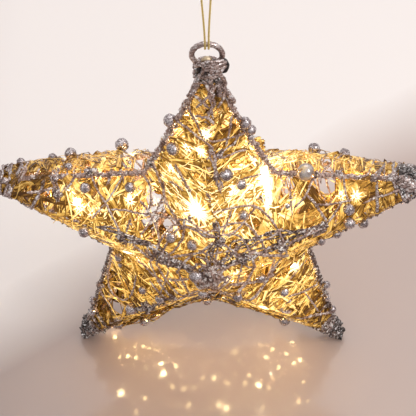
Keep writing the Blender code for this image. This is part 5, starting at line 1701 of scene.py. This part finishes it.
def flash_flakes():
    """Flat round flakes of eight sides whose outward side looks at the mirrored eye and alone shines. The
    first end of each form is its back. A ray that misses is moved up to 12 picture points inwards."""
    flip = np.array([1, 1, -1.0])
    low_eye = (eye - [0, 0, FLOOR_Z]) * flip + [0, 0, FLOOR_Z]
    forms, tones = [], []
    for x, y, strength in FLASHES:
        for inwards in np.sign(PICTURE / 2 - x) * np.arange(0, 13, 3):
            toward = unit(ray_through(x + inwards, y) * flip)
            place = first_hit(low_eye, toward)
            if place is not None:
                radius = 0.0008 + 0.0014 * strength / STRONGEST
                path = place - toward * np.array([0.0004, 0.0006])[:, None]
                forms.append(rings_along(path, np.array([1.0, 0.1, 0]), round_profile([radius, radius], 8)))
                tones.append(strength / STRONGEST)
                break
    return forms, np.array(tones)


flake_forms, flake_tones = flash_flakes()
print(len(flake_forms), "flakes of", len(FLASHES))


def flash_material():
    """Warm light as strong as the flake's tone."""
    material, node, give = new_material("film_flash")
    tone = marked(node, "tone")
    give(Emission_Color=ramp(node, tone, (0.1, (1.0, 0.66, 0.24)), (0.8, (1.0, 0.78, 0.38))),
         Emission_Strength=times(node, tone, STRONGEST * FLASH),
         Base_Color=(0.9, 0.75, 0.4, 1), Roughness=0.3)
    return material


flashes = make_mesh("film_flashes", flake_forms, None, flake_tones, smooth=False)
shining = np.zeros((len(flake_forms), 10))
shining[:, 9] = flake_tones
flashes.data.attributes["tone"].data.foreach_set("value", shining.astype(np.float32).ravel())
dress(flashes, flash_material())

# %% [markdown]
# ## Floor and light
#
# The star stands on a pale, slightly glossy table in soft light from above and behind. The table's colour
# is painted bright behind the star and darker in front of it, darkest on the left: painted shade. The table
# mirrors the lamps softly.

# %% Floor
def on_floor(x, y):
    """The place on the table that is seen at picture place x, y."""
    ray = ray_through(x, y)
    return eye + ray * (FLOOR_Z - eye[2]) / ray[2]


def floor_material():
    """A pale colour far behind the star that goes over into darker colours in front of it along a slanting
    line:
    painted shade. The whole table is glossy. The line goes through two places seen in the picture, and the
    colours go by the distance from it and from left to right."""
    material, node, give = new_material("table")
    left_end, right_end = on_floor(10, 312), on_floor(405, 112)
    line = unit(right_end - left_end)
    square = np.array([-line[1], line[0], 0])
    space = object_space(node)
    haze = maths(node, "SUBTRACT", noise(node, 7.0, 2.0, space), 0.5)
    beyond = maths(node, "SUBTRACT", dot(node, space, tuple(square)), float(left_end @ square))
    beyond = plus(node, beyond, times(node, haze, 0.05))
    sideways = span(node, node("ShaderNodeSeparateXYZ", {"Vector": space}).outputs["X"], -0.2, 0.22, 0, 1)
    # The near colours are darker than the far one, darkest on the left: painted shade.
    near = ramp(node, sideways, (0.0, (0.30, 0.225, 0.20)), (0.3, (0.455, 0.34, 0.30)),
                (0.6, (0.55, 0.415, 0.355)), (1.0, (0.485, 0.375, 0.345)))
    mixed = node("ShaderNodeMix", {"Factor": span(node, beyond, -0.042, 0.022, 0, 1), 6: near},
                 data_type="RGBA")
    mixed.inputs[7].default_value = (0.93, 0.865, 0.84, 1)
    give(Base_Color=mixed.outputs[2], Roughness=0.5, Coat_Weight=1.0, Coat_Roughness=0.10, Coat_IOR=1.6)
    return material


table_mesh = bpy.data.meshes.new("table")
table_mesh.from_pydata([(-4, -4, FLOOR_Z), (4, -4, FLOOR_Z), (4, 4, FLOOR_Z), (-4, 4, FLOOR_Z)], [],
                       [(0, 1, 2, 3)])
table = put_in_scene("table", table_mesh)
table_mesh.materials.append(floor_material())

# %% Lamps of the studio and the world
def soft_box(name, where, aim, size, power, colour):
    """A square area lamp at where, turned towards aim."""
    data = bpy.data.lights.new(name, "AREA")
    data.size, data.energy, data.color = size, power, colour
    to = unit(np.asarray(where, float) - aim)
    side = unit(np.cross([0, 0, 1.0], to))
    put_in_scene(name, data, (side, np.cross(to, side), to), where)


soft_box("window", (0.62, -0.25, 0.55), CENTRE, 0.5, 2.6, (1.0, 0.98, 0.96))
soft_box("back_light", (0.1, 1.0, 0.7), CENTRE, 0.9, 1.5, (1.0, 0.97, 0.95))
world = bpy.data.worlds.new("studio")
bpy.context.scene.world = world
world.use_nodes = True
node = node_maker(world.node_tree)
background = world.node_tree.nodes["Background"]
background.inputs["Color"].default_value = (0.96, 0.93, 0.92, 1)
height = dot(node, node("ShaderNodeTexCoord").outputs["Generated"], (0.2, 0.25, 0.9))
world.node_tree.links.new(span(node, height, -0.3, 1.0, 0.42, 1.0), background.inputs["Strength"])
bpy.context.scene.view_settings.view_transform = "Standard"
